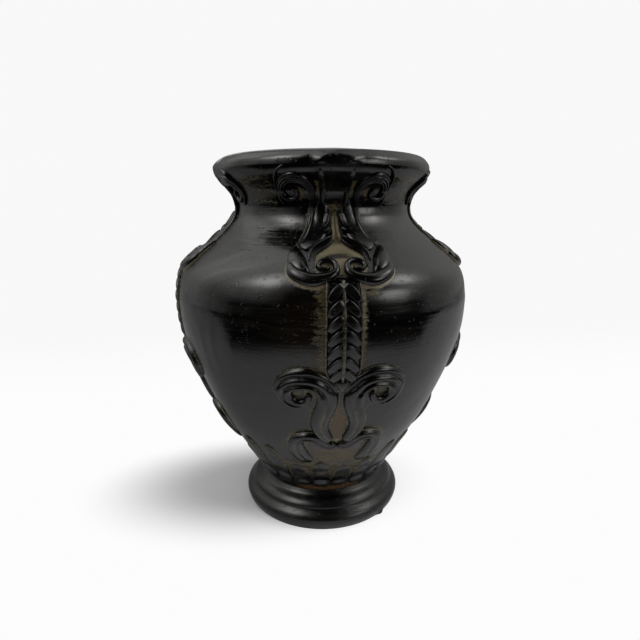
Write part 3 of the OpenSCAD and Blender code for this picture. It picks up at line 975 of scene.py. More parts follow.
def set_on_sides(front, kind):
    """Give the front panel's piece its glaze, and set a copy of it on each other side."""
    select_only(front)
    bpy.ops.object.shade_smooth()
    for k, side in enumerate(SIDES):
        piece = front
        if k > 0:
            piece = front.copy()
            piece.data = front.data.copy()
            bpy.context.collection.objects.link(piece)
            turn_to_side(piece, k)
        named(piece, "glazed_" + side + "_" + kind)
        hand_over(piece, side + "_" + kind, relief_glaze())


# Profiles and paints of the relief, across a strip from -1 to 1

def dome(u, fullness):
    return np.sqrt(np.clip(1 - np.abs(u) ** fullness, 0, 1))


def domed(fullness):
    """Profile that is the same dome all along a strip."""
    def profile(t, u):
        return dome(u, fullness)
    return profile


def groove(t, u, stations):
    """Depth of a groove that follows the stations along a strip."""
    return from_table(stations, t, place=2) * dip(u, from_table(stations, t), GROOVE_WIDTH)


def edge_paint(right, left=None, fade=None):
    """Paint with an ochre line low on the right and left flanks of a strip, faded out along it if asked."""
    def paint(t, u, shares):
        strength = np.where(u < 0, right, right if left is None else left)
        line = strength * (1 - ease(*LINE_LIFT, shares)) * ease(*FLANK, np.abs(u))
        if fade:
            line = line * (1 - ease(*fade, t))
        return np.zeros_like(shares), line
    return paint


def full_paint(strength):
    """Paint with the ochre of the edge lines all over a strip."""
    def paint(t, u, shares):
        return np.zeros_like(shares), np.full_like(shares, strength)
    return paint


# Materials

class Nodes:
    """Adds nodes to one node tree and links them."""

    def __init__(self, tree):
        self.tree = tree
        self.count = 0

    def add(self, kind, inputs=None, **settings):
        node = self.tree.nodes.new(kind)
        row, place = divmod(self.count, NODES_IN_ROW)
        node.location = (NODE_WIDTH * place, -NODE_HEIGHT * row)
        self.count += 1
        for key, value in settings.items():
            setattr(node, key, value)
        for key, value in (inputs or {}).items():
            self.feed(node.inputs[key], value)
        return node

    def feed(self, socket, value):
        if isinstance(value, bpy.types.NodeSocket):
            self.tree.links.new(value, socket)
        else:
            socket.default_value = value

    def math(self, operation, a, b=0.0, c=0.0):
        node = self.add("ShaderNodeMath", {0: a, 1: b, 2: c}, operation=operation)
        return node.outputs[0]

    def vector(self, operation, a, b):
        return self.add("ShaderNodeVectorMath", {0: a, 1: b}, operation=operation).outputs[0]

    def steps(self, low, high, value):
        node = self.add("ShaderNodeMapRange", {"Value": value, "From Min": low, "From Max": high},
                        interpolation_type="SMOOTHSTEP")
        return node.outputs["Result"]

    def noise(self, vector, scale, detail, roughness):
        node = self.add("ShaderNodeTexNoise", {"Vector": vector, "Scale": scale, "Detail": detail,
                                               "Roughness": roughness})
        return node.outputs["Fac"]

    def streaks(self, position, scales, detail, roughness):
        """Noise with a scale of its own along each axis."""
        return self.noise(self.vector("MULTIPLY", position, scales), 1.0, detail, roughness)

    def average(self, a, b, share):
        """This share of a and the rest of b."""
        return self.math("MULTIPLY_ADD", a, share, self.math("MULTIPLY", b, 1 - share))

    def blend(self, amount, a, b):
        node = self.add("ShaderNodeMix", {0: amount, 6: a, 7: b}, data_type="RGBA")
        return node.outputs[2]

    def mix(self, amount, a, b):
        node = self.add("ShaderNodeMix", {0: amount, 2: a, 3: b}, data_type="FLOAT")
        return node.outputs[0]


def new_group(name, inputs, outputs):
    group = bpy.data.node_groups.new(name, "ShaderNodeTree")
    for label, kind in inputs:
        group.interface.new_socket(label, in_out="INPUT", socket_type=kind)
    for label, kind in outputs:
        group.interface.new_socket(label, in_out="OUTPUT", socket_type=kind)
    nodes = Nodes(group)
    start = nodes.add("NodeGroupInput")
    end = nodes.add("NodeGroupOutput")
    return group, nodes, start, end


def brush_marks_group():
    """Fine rings left by the brush and the wheel, the pitted skin of the glaze and a thin brushed veil."""
    name = "urn_brush_marks"
    if name in bpy.data.node_groups:
        return bpy.data.node_groups[name]
    group, n, start, end = new_group(name, [("Position", "NodeSocketVector")],
                                     [("Height", "NodeSocketFloat"), ("Dullness", "NodeSocketFloat"),
                                      ("Veil", "NodeSocketFloat")])
    position = start.outputs["Position"]
    rings = n.streaks(position, *RINGS)
    rippled = n.steps(*RIPPLED, n.streaks(position, *RIPPLES))
    grit = n.noise(position, *GRIT)
    gritty = n.steps(*GRITTY, n.noise(position, *GRIT_PATCHES))
    specks = n.steps(*SPECKLED, n.noise(position, *SPECKS))
    upper = n.steps(*UPPER_PART, n.add("ShaderNodeSeparateXYZ", {0: position}).outputs["Z"])
    height = n.math("MULTIPLY", rings, n.math("MULTIPLY_ADD", rippled, *RING_HEIGHT))
    height = n.math("MULTIPLY_ADD", grit, n.math("MULTIPLY_ADD", gritty, *GRIT_HEIGHT), height)
    height = n.math("MULTIPLY_ADD", specks, SPECK_HEIGHT, height)
    swell_height = n.math("MULTIPLY_ADD", upper, *SWELL_HEIGHT)
    height = n.math("MULTIPLY_ADD", n.noise(position, *SWELL), swell_height, height)
    height = n.math("MULTIPLY_ADD", n.noise(position, *DIMPLES), DIMPLE_HEIGHT, height)
    cloud = n.streaks(position, *CLOUDS)
    strokes = n.streaks(position, *STROKES)
    n.feed(end.inputs["Height"], height)
    n.feed(end.inputs["Dullness"], n.steps(*DULLED, n.average(rings, cloud, RING_SHARE)))
    n.feed(end.inputs["Veil"], n.steps(*VEILED, n.average(strokes, cloud, STROKE_SHARE)))
    return group


def wash_edges_group():
    """Turns an amount of wash into a brushed patch with ragged edges."""
    name = "urn_wash_edges"
    if name in bpy.data.node_groups:
        return bpy.data.node_groups[name]
    group, n, start, end = new_group(
        name,
        [("Position", "NodeSocketVector"), ("Amount", "NodeSocketFloat"), ("Raggedness", "NodeSocketFloat")],
        [("Mask", "NodeSocketFloat"), ("Depth", "NodeSocketFloat")])
    position = start.outputs["Position"]
    amount = start.outputs["Amount"]
    strokes = n.streaks(position, *WASH_STROKES)
    grain = n.noise(position, *WASH_GRAIN)
    rough = n.math("SUBTRACT", n.average(strokes, grain, WASH_STROKE_SHARE), 0.5)
    present = n.math("MINIMUM", n.math("MULTIPLY", amount, WASH_PRESENCE), 1.0)
    shift = n.math("MULTIPLY", n.math("MULTIPLY", rough, start.outputs["Raggedness"]), present)
    n.feed(end.inputs["Mask"], n.steps(*WASHED, n.math("ADD", amount, shift)))
    n.feed(end.inputs["Depth"], n.steps(*WASH_DEPTHS, n.average(grain, strokes, 0.5)))
    return group


def glaze_material(name, wear, base_dullness):
    """Black glaze with brown wash where the piece's own wash, line and warm attributes put it."""
    if name in bpy.data.materials:
        return bpy.data.materials[name]
    colours = bpy.context.scene.urn_glaze
    material = bpy.data.materials.new(name)
    material.use_nodes = True
    material.node_tree.nodes.clear()
    n = Nodes(material.node_tree)
    position = n.add("ShaderNodeTexCoord").outputs["Object"]
    marks = n.add("ShaderNodeGroup", {"Position": position}, node_tree=brush_marks_group())

    def painted(label):
        return n.add("ShaderNodeAttribute", attribute_name=label).outputs["Fac"]

    def brushed(amount, raggedness):
        return n.add("ShaderNodeGroup", {"Position": position, "Amount": amount, "Raggedness": raggedness},
                     node_tree=wash_edges_group())

    edges = brushed(n.math("ADD", painted("wash"), wear), WASH_RAGGEDNESS)
    mask = edges.outputs["Mask"]
    depth = edges.outputs["Depth"]
    thin_edges = brushed(painted("line"), LINE_RAGGEDNESS)
    glaze = n.blend(marks.outputs["Veil"], (*colours.glaze, 1), (*colours.thin_glaze, 1))
    dark_wash = tuple(DARK_WASH * c for c in colours.wash)
    brown = n.blend(depth, (*dark_wash, 1), (*colours.wash, 1))
    colour = n.blend(mask, glaze, brown)
    line_mask = n.math("MULTIPLY", thin_edges.outputs["Mask"], LINE_COVER)
    colour = n.blend(line_mask, colour, (*colours.line, 1))
    warm_mask = n.math("MULTIPLY", painted("warm"), n.math("MULTIPLY_ADD", depth, *WARM_COVER))
    colour = n.blend(warm_mask, colour, (*colours.warm, 1))
    matt = n.math("MAXIMUM", mask, n.math("MAXIMUM", line_mask, warm_mask))
    gloss = n.math("MULTIPLY_ADD", marks.outputs["Dullness"], MARK_ROUGHNESS, base_dullness)
    roughness = n.mix(matt, gloss, WASH_ROUGHNESS)
    roughness = n.math("MULTIPLY_ADD", painted("dull"), DULL_ROUGHNESS, roughness)
    wash_height = n.math("MULTIPLY", depth, WASH_HEIGHT)
    height = n.math("MULTIPLY_ADD", matt, wash_height, marks.outputs["Height"])
    bump = n.add("ShaderNodeBump", {"Height": height, "Strength": BUMP_STRENGTH, "Distance": BUMP_DISTANCE})
    shader = n.add("ShaderNodeBsdfPrincipled", {"Base Color": colour, "Roughness": roughness,
                                                "Normal": bump.outputs["Normal"]})
    shader.inputs["IOR"].default_value = GLAZE_IOR
    shader.inputs["Coat Weight"].default_value = COAT_WEIGHT
    shader.inputs["Coat Roughness"].default_value = COAT_ROUGHNESS
    n.add("ShaderNodeOutputMaterial", {"Surface": shader.outputs["BSDF"]})
    return material


def vessel_glaze():
    return glaze_material("urn_vessel_glaze", 0.0, VESSEL_ROUGHNESS)


def relief_glaze():
    return glaze_material("urn_relief_glaze", 0.0, RELIEF_ROUGHNESS)


def petal_wash():
    return glaze_material("urn_petal_wash", PETAL_WEAR, PETAL_ROUGHNESS)


# Pieces of the pot

def finish_turned(piece, node, wall, dull=0.0):
    """Paint a turned piece on its outside, and give it its glaze."""
    select_only(piece)
    bpy.ops.object.shade_smooth_by_angle(angle=math.radians(SHARP_ANGLE))
    x, y, z = points_of(piece).T / MM
    a = np.degrees(np.arctan2(x, -y))
    a = (a + PANEL_WIDTH / 2) % PANEL_WIDTH - PANEL_WIDTH / 2
    outside = (np.hypot(x, y) > wall.radius(z) - SKIN_DEPTH) & (z > WAIST_Z * wall.level - WAIST_MARGIN)
    layers = np.zeros((4, len(z)))
    if outside.any():
        layers[:, outside] = paint_pot(wall, a[outside], z[outside])
    layers[3] = np.maximum(layers[3], dull)
    for label, values in zip(("wash", "line", "warm", "dull"), layers):
        give(piece, label, values)
    hand_over(piece, node, vessel_glaze())


def tongue_radius(inner, outer):
    return lerp(inner, outer, TONGUE_SHARE)


class URN_OT_foot_ring(bpy.types.Operator):
    """Turn the foot, with its two rolls and one drip of glaze"""
    bl_idname = "urn.foot_ring"
    bl_label = "Foot ring"

    def execute(self, context):
        wall = pot_wall()
        waist = WAIST_Z * wall.level
        run = smooth_run(FOOT_STATIONS, SECTION_STEPS)
        section = [(SPIGOT_R, 0)]
        section += [(lerp(wall.waist_r, wall.foot_r, share), rise * waist) for rise, share in run]
        section += [(SPIGOT_R, waist)]
        piece = turned_piece("glazed_foot_ring", section, FOOT_TURNS)
        points = points_of(piece)
        r = np.hypot(points[:, 0], points[:, 1]) / MM
        a = np.degrees(np.arctan2(points[:, 0], -points[:, 1]))
        drip = DRIP_OUT * spot(a, points[:, 2] / MM, DRIP_PLACE, DRIP_SIZE)
        drip *= ease(SPIGOT_R + DRIP_SETS_IN[0], SPIGOT_R + DRIP_SETS_IN[1], r)
        points[:, :2] *= (1 + drip / r)[:, None]
        set_points(piece, points)
        finish_turned(piece, "foot_ring", wall, FOOT_DULLNESS)
        return {"FINISHED"}


class URN_OT_body(bpy.types.Operator):
    """Turn the belly, shoulder and floor"""
    bl_idname = "urn.body"
    bl_label = "Body"

    def execute(self, context):
        wall = pot_wall()
        waist = WAIST_Z * wall.level
        seam = NECK_SEAM_Z * wall.level
        floor = FLOOR_Z * wall.level
        rise = FLOOR_RISE * wall.level
        tongue = tongue_radius(wall.cavity(seam), wall.radius(seam))
        floor_r = wall.cavity(floor + rise) - FLOOR_BEND
        bend = (floor_r + FLOOR_BEND * BEND_PLACE[0], floor + rise * BEND_PLACE[1])
        section = [(0, waist - SPIGOT_H), (SPIGOT_R, waist - SPIGOT_H), (SPIGOT_R, waist)]
        section += wall.outer_run(waist, seam, BODY_GAPS[0])
        section += [(tongue, seam), (tongue, seam - TONGUE_H)]
        section += wall.inner_run(floor + rise, seam - TONGUE_H, BODY_GAPS[1])
        section += [bend, (floor_r, floor), (0, floor)]
        piece = turned_piece("glazed_body", section, POT_TURNS)
        finish_turned(piece, "body", wall)
        return {"FINISHED"}


class URN_OT_neck_collar(bpy.types.Operator):
    """Turn the waisted neck"""
    bl_idname = "urn.neck_collar"
    bl_label = "Neck collar"

    def execute(self, context):
        wall = pot_wall()
        seam = NECK_SEAM_Z * wall.level
        lip_seam = LIP_SEAM_Z * wall.level
        lip = LIP_Z * wall.level
        low = seam - TONGUE_H
        tongue = tongue_radius(wall.cavity(seam), wall.radius(seam))
        lip_tongue = tongue_radius(wall.mouth_r, wall.radius(lip_seam))
        section = [(wall.cavity(low), low), (tongue, low), (tongue, seam)]
        section += wall.outer_run(seam, lip_seam, NECK_GAPS[0])
        section += [(lip_tongue, lip_seam), (lip_tongue, lip), (wall.mouth_r, lip)]
        section += wall.inner_run(seam, lip_seam, NECK_GAPS[1])
        piece = turned_piece("glazed_neck_collar", section, POT_TURNS)
        finish_turned(piece, "neck_collar", wall)
        return {"FINISHED"}


def lip_run(wall, steps):
    return [(wall.lip_r + r, (LIP_Z + z) * wall.level) for r, z in smooth_run(LIP_STATIONS, steps)]


class URN_OT_rim_lip(bpy.types.Operator):
    """Turn the rolled lip"""
    bl_idname = "urn.rim_lip"
    bl_label = "Rim lip"

    def execute(self, context):
        wall = pot_wall()
        lip_seam = LIP_SEAM_Z * wall.level
        lip = LIP_Z * wall.level
        tongue = tongue_radius(wall.mouth_r, wall.radius(lip_seam))
        section = wall.outer_run(lip_seam, lip, LIP_GAP)[:-1] + lip_run(wall, SECTION_STEPS)
        section += [(tongue, lip), (tongue, lip_seam)]
        piece = turned_piece("glazed_rim_lip", section, POT_TURNS)
        finish_turned(piece, "rim_lip", wall)
        return {"FINISHED"}


# Pieces of the panels

class URN_OT_rim_bosses(bpy.types.Operator):
    """Press the soft bumps on the lip, one over each strap, with two low knobs each"""
    bl_idname = "urn.rim_bosses"
    bl_label = "Rim bosses"

    def execute(self, context):
        wall = pot_wall()
        relief = context.scene.urn_relief.boss / MM
        over_lip = [p for p in lip_run(wall, BOSS_STEPS) if p[0] > wall.mouth_r + BOSS_CLEAR]
        face = np.array(wall.outer_run(BOSS_FOOT * wall.level, LIP_Z * wall.level, BOSS_GAP)[:-1] + over_lip)
        rows = len(face)
        along = np.vstack([face[1:], face[-1:]]) - np.vstack([face[:1], face[:-1]])
        along /= np.linalg.norm(along, axis=1, keepdims=True)
        normal = np.stack([along[:, 1], -along[:, 0]], axis=-1)
        angles = np.linspace(-BOSS_REACH, BOSS_REACH, BOSS_COLUMNS)
        up = ((np.arange(rows) + 0.5) / rows)[:, None]
        swell = np.cos(0.5 * math.pi * angles / BOSS_REACH) ** 2
        swell = swell * np.sin(math.pi * up ** BOSS_LEAN) ** BOSS_PEAK
        knobs = spot(np.abs(angles), up, KNOB_PLACE, KNOB_SIZE)
        out = with_underside(relief * (BOSS_SWELL * swell + BOSS_KNOBS * knobs) - BOSS_SINK)
        turn = np.concatenate([angles, BOSS_REACH * np.array(UNDERSIDE)])[None, :]
        points = round_axis(turn, face[:, 0:1] + out * normal[:, 0:1], face[:, 1:2] + out * normal[:, 1:2])
        bare = np.zeros(out.shape)
        set_on_sides(rolled("boss", points, bare, bare), "rim_boss")
        return {"FINISHED"}


class URN_OT_neck_straps(bpy.types.Operator):
    """Press the channelled straps down the neck"""
    bl_idname = "urn.neck_straps"
    bl_label = "Neck straps"

    def execute(self, context):
        wall = pot_wall()

        def ribbed(t, u):
            return STRAP_RIB * dip(np.abs(u), *STRAP_RIB_PLACE) - STRAP_CHANNEL

        piece = strip("strap", wall, laid(wall, STRAP), ribbed, edge_paint(0.2),
                      gap=0.6, across=40, ends=(2, 6))
        set_on_sides(piece, "neck_strap")
        return {"FINISHED"}


class URN_OT_neck_scrolls(bpy.types.Operator):
    """Press the pairs of scrolls under the lip"""
    bl_idname = "urn.neck_scrolls"
    bl_label = "Neck scrolls"

    def execute(self, context):
        wall = pot_wall()

        def channelled(t, u):
            fine = sum(dip(u, place, NECK_GROOVE_WIDTH) for place in NECK_GROOVES)
            start, end = NECK_GROOVE_ENDS
            return dome(u, ROUND) - NECK_GROOVE_DEPTH * fine * ease(*start, t) * (1 - ease(*end, t))

        scroll = strip("neck_scroll", wall, neck_scroll_run(wall), channelled,
                       edge_paint(0.9, 0.3, fade=(0.2, 0.36)), gap=0.5, across=48, ends=(4, 2))
        curl = strip("neck_curl", wall, laid(wall, NECK_CURL), domed(ROUND), edge_paint(0.0),
                     gap=0.5, across=14, ends=(3, 3))
        half = joined("neck_scroll", [scroll, curl])
        set_on_sides(both_halves(half), "neck_scrolls")
        return {"FINISHED"}


class URN_OT_shoulder_leaves(bpy.types.Operator):
    """Press the pairs of folded leaf tails below the straps"""
    bl_idname = "urn.shoulder_leaves"
    bl_label = "Shoulder leaves"

    def execute(self, context):
        wall = pot_wall()

        def crested(t, u):
            return dome(u, LOBE_ROUND) * lerp(LOBE_FLANK, 1, dip(u, *LOBE_CREST))

        parts = [strip("blade", wall, laid(wall, LEAF_BLADE), domed(BLADE_ROUND), edge_paint(0.4),
                       gap=0.6, across=24, ends=(6, 4))]
        for stations in LEAF_LOBES:
            parts.append(strip("lobe", wall, laid(wall, stations), crested, edge_paint(0.25),
                               gap=0.4, across=18, ends=(2, 2)))
        set_on_sides(both_halves(joined("leaf", parts)), "shoulder_leaves")
        return {"FINISHED"}


class URN_OT_rope_scrolls(bpy.types.Operator):
    """Press the pairs of folded arms that curl up into two small volutes"""
    bl_idname = "urn.rope_scrolls"
    bl_label = "Rope scrolls"

    def execute(self, context):
        wall = pot_wall()
        lobe = strip("rope_lobe", wall, laid(wall, ROPE_LOBE), domed(ROUND), edge_paint(0.3, 0.9),
                     gap=0.45, across=26, ends=(2, 3))
        # The arm's ochre line is weaker on its lower side: painted shade under the arm
        arm = strip("rope_arm", wall, rope_run(wall), domed(ROUND), edge_paint(1.0, 0.7),
                    gap=0.45, across=28, ends=(3, 2))
        half = joined("rope", [lobe, arm])
        set_on_sides(both_halves(half), "rope_scrolls")
        return {"FINISHED"}


class URN_OT_leaf_braids(bpy.types.Operator):
    """Press the hanging braids of leaves, row by row"""
    bl_idname = "urn.leaf_braids"
    bl_label = "Leaf braids"

    def execute(self, context):
        wall = pot_wall()

        def folded(t, u):
            return from_table(BRAID_SECTION, u)

        plate = strip("plate", wall, laid(wall, BRAID_PLATE), domed(PLATE_ROUND), edge_paint(0.0),
                      gap=0.8, across=30, ends=(1.5, 1.5))
        tip = strip("tip", wall, laid_leaf(wall, BRAID_TIP), domed(ROUND), edge_paint(0.3),
                    gap=0.4, across=24, ends=(1, 2))
        rib = strip("rib", wall, laid(wall, BRAID_RIB), domed(ROUND), full_paint(0.4),
                    gap=0.6, across=12, ends=(1, 1))
        border = strip("border", wall, laid(wall, BRAID_BORDER), domed(ROUND), full_paint(0.45),
                       gap=0.6, across=12, ends=(1, 1))
        parts = [plate, tip, rib, both_halves(border)]
        leaf_runs = [braid_leaf_run(wall, row) for row in braid_rows()] + [laid_leaf(wall, BRAID_LAST_LEAF)]
        for run in leaf_runs:
            leaf = strip("leaf", wall, run, folded, edge_paint(0.0), gap=0.4, across=24, ends=(0.6, 1))
            parts.append(both_halves(leaf))
        set_on_sides(joined("braid", parts), "leaf_braid")
        return {"FINISHED"}


class URN_OT_lyre_scrolls(bpy.types.Operator):
    """Press the pairs of large scrolls below the braids"""
    bl_idname = "urn.lyre_scrolls"
    bl_label = "Lyre scrolls"

    def execute(self, context):
        wall = pot_wall()

        def grooved(t, u):
            return dome(u, LYRE_ROUND) - groove(t, u, LYRE_OUTER_GROOVE) - groove(t, u, LYRE_INNER_GROOVE)

        def paint(t, u, shares):
            _, line = edge_paint(0.5)(t, u, shares)
            on_stem = 1 - ease(*LYRE_STEM_ENDS, t)
            return LYRE_GROOVE_WASH * on_stem * groove(t, u, LYRE_INNER_GROOVE), line

        half = strip("lyre", wall, lyre_run(wall), grooved, paint, gap=0.6, across=34, ends=(3, 2.5))
        set_on_sides(both_halves(half), "lyre_scrolls")
        return {"FINISHED"}


class URN_OT_bracket_arms(bpy.types.Operator):
    """Press the pairs of arms that carry the large scrolls"""
    bl_idname = "urn.bracket_arms"
    bl_label = "Bracket arms"

    def execute(self, context):
        wall = pot_wall()

        def channelled(t, u):
            channel = BRACKET_CHANNEL * dip(u, *BRACKET_CHANNEL_PLACE)
            return dome(u, BRACKET_ROUND) - channel * (1 - ease(*BRACKET_CHANNEL_ENDS, t))

        half = strip("bracket", wall, laid(wall, BRACKET_ARM), channelled,
                     edge_paint(0.25, 0.8, fade=(0.7, 0.88)), gap=0.6, across=26, ends=(2, 3))
        set_on_sides(both_halves(half), "bracket_arms")
        return {"FINISHED"}


class URN_OT_petals(bpy.types.Operator):
    """Press the petals round the waist, short below the panels and tall between them"""
    bl_idname = "urn.petals"
    bl_label = "Petals"

    def execute(self, context):
        wall = pot_wall()

        def folded(t, u):
            return dome(u, PETAL_ROUND) * from_table(PETAL_FOLDS, t + PETAL_SAG * u ** 2)

        def paint(t, u, shares):
            edge = ease(*PETAL_FLANK, np.abs(u))
            wash = (PETAL_WASH + PETAL_EDGE_WASH * edge) * ease(*PETAL_WASH_RISE, t)
            return wash, PETAL_LINE * edge * ease(*PETAL_LINE_RISE, t)

        for tall, node, top in ((False, "short_petals", SHORT_TOP), (True, "tall_petals", TALL_TOP)):
            angles, pitch = petal_angles(tall)
            ring = []
            for k in range(len(SIDES)):
                for a in angles:
                    uneven = math.sin(PETAL_UNEVENNESS * (a + PANEL_WIDTH * k))
                    run = petal_run(wall, a, top + PETAL_TOP_CHANGE * uneven, pitch)
                    run[:, 3] *= 1 + PETAL_RELIEF_CHANGE * uneven
                    petal = strip("petal", wall, run, folded, paint, gap=0.8, across=20, ends=(2, 3))
                    turn_to_side(petal, k)
                    ring.append(petal)
            piece = joined("glazed_" + node, ring)
            select_only(piece)
            bpy.ops.object.shade_smooth()
            hand_over(piece, node, petal_wash())
        return {"FINISHED"}


# Stage

def stage_material(name, build):
    material = bpy.data.materials.new(name)
    material.use_nodes = True
    material.node_tree.nodes.clear()
    n = Nodes(material.node_tree)
    n.add("ShaderNodeOutputMaterial", {"Surface": build(n)})
    return material


def soft_lamp(name, azimuth, elevation, distance, size, radiance):
    """An area lamp turned to the middle of the pot, with this much light from each point of it."""
    a = math.radians(azimuth)
    e = math.radians(elevation)
    flat = distance * math.cos(e)
    place = (flat * math.sin(a), -flat * math.cos(a), ROOM_Z + distance * math.sin(e))
    deselect_all()
    bpy.ops.object.light_add(type="AREA", location=place)
    lamp = named(bpy.context.object, name)
    lamp.data.shape = "RECTANGLE"
    lamp.data.size = size[0]
    lamp.data.size_y = size[1]
    lamp.data.energy = radiance * math.pi * size[0] * size[1]
    lamp.rotation_euler = (math.radians(90 - elevation), 0, math.radians(azimuth))
    lamp.visible_glossy = False


def white_floor(n):
    """White that takes the pot's shadow close to it, is plain white farther out, then meets the backdrop."""
    position = n.add("ShaderNodeTexCoord").outputs["Object"]
    across = n.vector("DIVIDE", n.vector("SUBTRACT", position, SHADOW_MIDDLE), SHADOW_REACH)
    far = n.add("ShaderNodeVectorMath", {0: across}, operation="LENGTH").outputs["Value"]
    lit = n.add("ShaderNodeBsdfDiffuse", {"Color": SHADED_FLOOR})
    behind = n.add("ShaderNodeSeparateXYZ", {0: position}).outputs["Y"]
    close = n.steps(*BACKDROP_MEETS, behind)
    level = n.math("MULTIPLY_ADD", close, FLOOR_WHITE - BACKDROP_WHITE, BACKDROP_WHITE)
    glow = n.add("ShaderNodeEmission", {"Color": (1, 1, 1, 1), "Strength": level})
    cover = n.add("ShaderNodeMixShader",
                  {0: n.steps(*SHADOW_FADES, far), 1: lit.outputs[0], 2: glow.outputs[0]})
    return cover.outputs[0]


def mirror_floor(n):
    grey = n.add("ShaderNodeAttribute", attribute_name="grey").outputs["Fac"]
    return n.add("ShaderNodeBsdfDiffuse", {"Color": grey}).outputs[0]


def room_walls(n):
    """What the glaze shows of the room: bright above on the left, a window on the right, dark in front."""
    position = n.add("ShaderNodeTexCoord").outputs["Object"]
    way = n.add("ShaderNodeVectorMath", {0: position}, operation="NORMALIZE").outputs[0]
    parts = n.add("ShaderNodeSeparateXYZ", {0: way})
    away = n.math("MULTIPLY", parts.outputs["Y"], -1.0)
    azimuth = n.math("DEGREES", n.math("ARCTAN2", parts.outputs["X"], away))
    elevation = n.math("DEGREES", n.math("ARCSINE", parts.outputs["Z"]))

    def side_light(full, added, level, behind_from, behind_to, behind_share):
        light = n.math("MULTIPLY_ADD", n.steps(0, full, elevation), added, level)
        behind = n.steps(behind_from, behind_to, azimuth)
        return n.math("MULTIPLY", light, n.mix(behind, 1.0, behind_share))

    def patch(a, e, width, height, level):
        across = n.math("DIVIDE", n.math("SUBTRACT", azimuth, a), width)
        up = n.math("DIVIDE", n.math("SUBTRACT", elevation, e), height)
        spread = n.math("MULTIPLY_ADD", across, across, n.math("MULTIPLY", up, up))
        return n.math("MULTIPLY", n.math("EXPONENT", n.math("MULTIPLY", spread, -1.0)), level)

    folds = n.add("ShaderNodeTexNoise", {"W": azimuth, "Scale": CURTAIN_SCALE, "Detail": CURTAIN_DETAIL},
                  noise_dimensions="1D")
    curtain = n.math("MULTIPLY_ADD", folds.outputs["Fac"], *CURTAIN_SHARES)
    left = n.math("MULTIPLY", side_light(*LEFT_LIGHT), curtain)
    right = n.math("MULTIPLY", n.steps(*RIGHT_SIDE, azimuth), side_light(*RIGHT_LIGHT))
    light = n.math("MULTIPLY_ADD", n.steps(*LEFT_SIDE, azimuth), left, right)
    ahead = n.math("MULTIPLY", n.steps(*AHEAD_FROM, azimuth), n.steps(*AHEAD_TO, azimuth))
    shade = n.math("MULTIPLY", ahead, n.steps(*AHEAD_RISE, elevation))
    light = n.math("MULTIPLY", light, n.math("SUBTRACT", 1.0, shade))
    for place in ROOM_PATCHES:
        light = n.math("ADD", light, patch(*place))
    light = n.math("ADD", light, ROOM_DIM)
    glow = n.add("ShaderNodeEmission", {"Color": ROOM_TINT, "Strength": light})
    return glow.outputs[0]


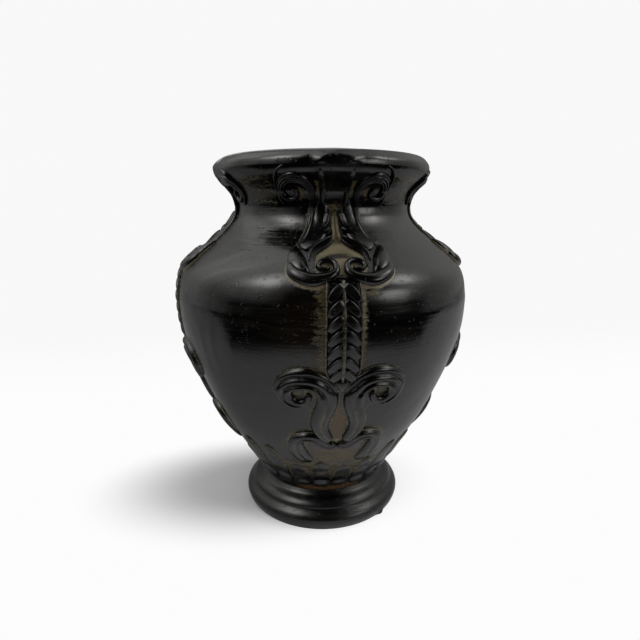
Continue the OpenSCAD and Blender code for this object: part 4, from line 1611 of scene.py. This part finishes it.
class URN_OT_stage(bpy.types.Operator):
    """Set the floor, the room, the light and the camera"""
    bl_idname = "urn.stage"
    bl_label = "Stage"

    def execute(self, context):
        scene = context.scene
        deselect_all()
        bpy.ops.mesh.primitive_plane_add(size=FLOOR_SIZE, location=(0, 0, 0))
        floor = context.object
        floor.name = "floor"
        floor.data.materials.append(stage_material("white_floor", white_floor))

        columns, rows = MIRROR_FACES
        card, i, j = blank("mirror_floor", columns, rows)
        azimuth = 360 * i / columns - 180
        distance = lerp(FLOOR_START, ROOM_RADIUS, (j / rows) ** 2)
        turn = np.radians(azimuth)
        lift = np.full(len(turn), MIRROR_LIFT)
        set_points(card, np.stack([distance * np.sin(turn), -distance * np.cos(turn), lift], axis=-1))
        past_edge = ease(0, DARK_EDGE_SOFTNESS, distance - from_table(DARK_EDGE, azimuth))
        set_in = ease(STREAKS_FROM, 2 * STREAKS_FROM, distance)
        streaks = lerp(1, from_table(FLOOR_STREAKS, azimuth), set_in)
        # The grey is partly the floor's own and partly painted shade of the pot, and turns dark past the
        # edge
        give(card, "grey", lerp(streaks * from_table(FLOOR_GREY_AND_SHADE, azimuth), DARK_FLOOR, past_edge))
        card.data.materials.append(stage_material("mirror_floor", mirror_floor))

        deselect_all()
        bpy.ops.mesh.primitive_uv_sphere_add(segments=ROOM_FACES[0], ring_count=ROOM_FACES[1],
                                             radius=ROOM_RADIUS, location=(0, 0, ROOM_Z))
        room = context.object
        room.name = "room"
        bpy.ops.object.mode_set(mode="EDIT")
        bpy.ops.mesh.select_mode(type="FACE")
        bpy.ops.mesh.select_all(action="DESELECT")
        bpy.ops.object.mode_set(mode="OBJECT")
        for polygon in room.data.polygons:
            x, y, _ = polygon.center
            polygon.select = y > 0 and abs(x) < y * math.tan(math.radians(ROOM_GAP))
        bpy.ops.object.mode_set(mode="EDIT")
        bpy.ops.mesh.delete(type="FACE")
        bpy.ops.object.mode_set(mode="OBJECT")
        room.data.materials.append(stage_material("room_walls", room_walls))
        for only_mirrored in (card, room):
            only_mirrored.visible_camera = False
            only_mirrored.visible_diffuse = False
            only_mirrored.visible_shadow = False

        for lamp in LAMPS:
            soft_lamp(*lamp)

        world = bpy.data.worlds.new("white_room")
        world.use_nodes = True
        world.node_tree.nodes.clear()
        n = Nodes(world.node_tree)
        rays = n.add("ShaderNodeLightPath")
        seen = n.math("MAXIMUM", rays.outputs["Is Camera Ray"], rays.outputs["Is Glossy Ray"])
        seen = n.math("MAXIMUM", seen, rays.outputs["Is Transmission Ray"])
        ambient = n.add("ShaderNodeBackground", {"Color": AMBIENT_GREY, "Strength": 1.0})
        white = n.add("ShaderNodeBackground", {"Color": (1, 1, 1, 1), "Strength": BACKDROP_WHITE})
        both = n.add("ShaderNodeMixShader", {0: seen, 1: ambient.outputs[0], 2: white.outputs[0]})
        n.add("ShaderNodeOutputWorld", {"Surface": both.outputs[0]})
        scene.world = world

        deselect_all()
        bpy.ops.object.camera_add(location=CAMERA_PLACE)
        camera = context.object
        camera.name = "camera"
        camera.rotation_euler = (math.radians(90 - CAMERA_DOWN), 0, math.radians(CAMERA_TURN))
        camera.data.sensor_width = SENSOR_WIDTH
        camera.data.lens = LENS
        camera.data.clip_start = NEAREST
        scene.camera = camera
        scene.view_settings.view_transform = "Standard"
        return {"FINISHED"}


class URN_PT_pieces(bpy.types.Panel):
    """Sizes, colours and pieces of the urn"""
    bl_idname = "URN_PT_pieces"
    bl_label = "Footed urn vase"
    bl_space_type = "VIEW_3D"
    bl_region_type = "UI"
    bl_category = "Urn"

    def draw(self, context):
        scene = context.scene
        for group in (scene.urn_sizes, scene.urn_relief, scene.urn_glaze):
            box = self.layout.box()
            for name in group.__annotations__:
                box.prop(group, name)
        for operator in PIECES + (URN_OT_stage,):
            self.layout.operator(operator.bl_idname)


PIECES = (
    URN_OT_foot_ring,
    URN_OT_body,
    URN_OT_neck_collar,
    URN_OT_rim_lip,
    URN_OT_rim_bosses,
    URN_OT_neck_straps,
    URN_OT_neck_scrolls,
    URN_OT_shoulder_leaves,
    URN_OT_rope_scrolls,
    URN_OT_leaf_braids,
    URN_OT_lyre_scrolls,
    URN_OT_bracket_arms,
    URN_OT_petals,
)
CLASSES = (UrnSizes, UrnRelief, UrnGlaze) + PIECES + (URN_OT_stage, URN_PT_pieces)


def register():
    for each in CLASSES:
        bpy.utils.register_class(each)
    bpy.types.Scene.urn_sizes = bpy.props.PointerProperty(type=UrnSizes)
    bpy.types.Scene.urn_relief = bpy.props.PointerProperty(type=UrnRelief)
    bpy.types.Scene.urn_glaze = bpy.props.PointerProperty(type=UrnGlaze)


def unregister():
    del bpy.types.Scene.urn_sizes
    del bpy.types.Scene.urn_relief
    del bpy.types.Scene.urn_glaze
    for each in reversed(CLASSES):
        bpy.utils.unregister_class(each)


def main():
    register()
    bpy.ops.urn.foot_ring()
    bpy.ops.urn.body()
    bpy.ops.urn.neck_collar()
    bpy.ops.urn.rim_lip()
    bpy.ops.urn.rim_bosses()
    bpy.ops.urn.neck_straps()
    bpy.ops.urn.neck_scrolls()
    bpy.ops.urn.shoulder_leaves()
    bpy.ops.urn.rope_scrolls()
    bpy.ops.urn.leaf_braids()
    bpy.ops.urn.lyre_scrolls()
    bpy.ops.urn.bracket_arms()
    bpy.ops.urn.petals()
    bpy.ops.urn.stage()


if __name__ == "__main__":
    main()
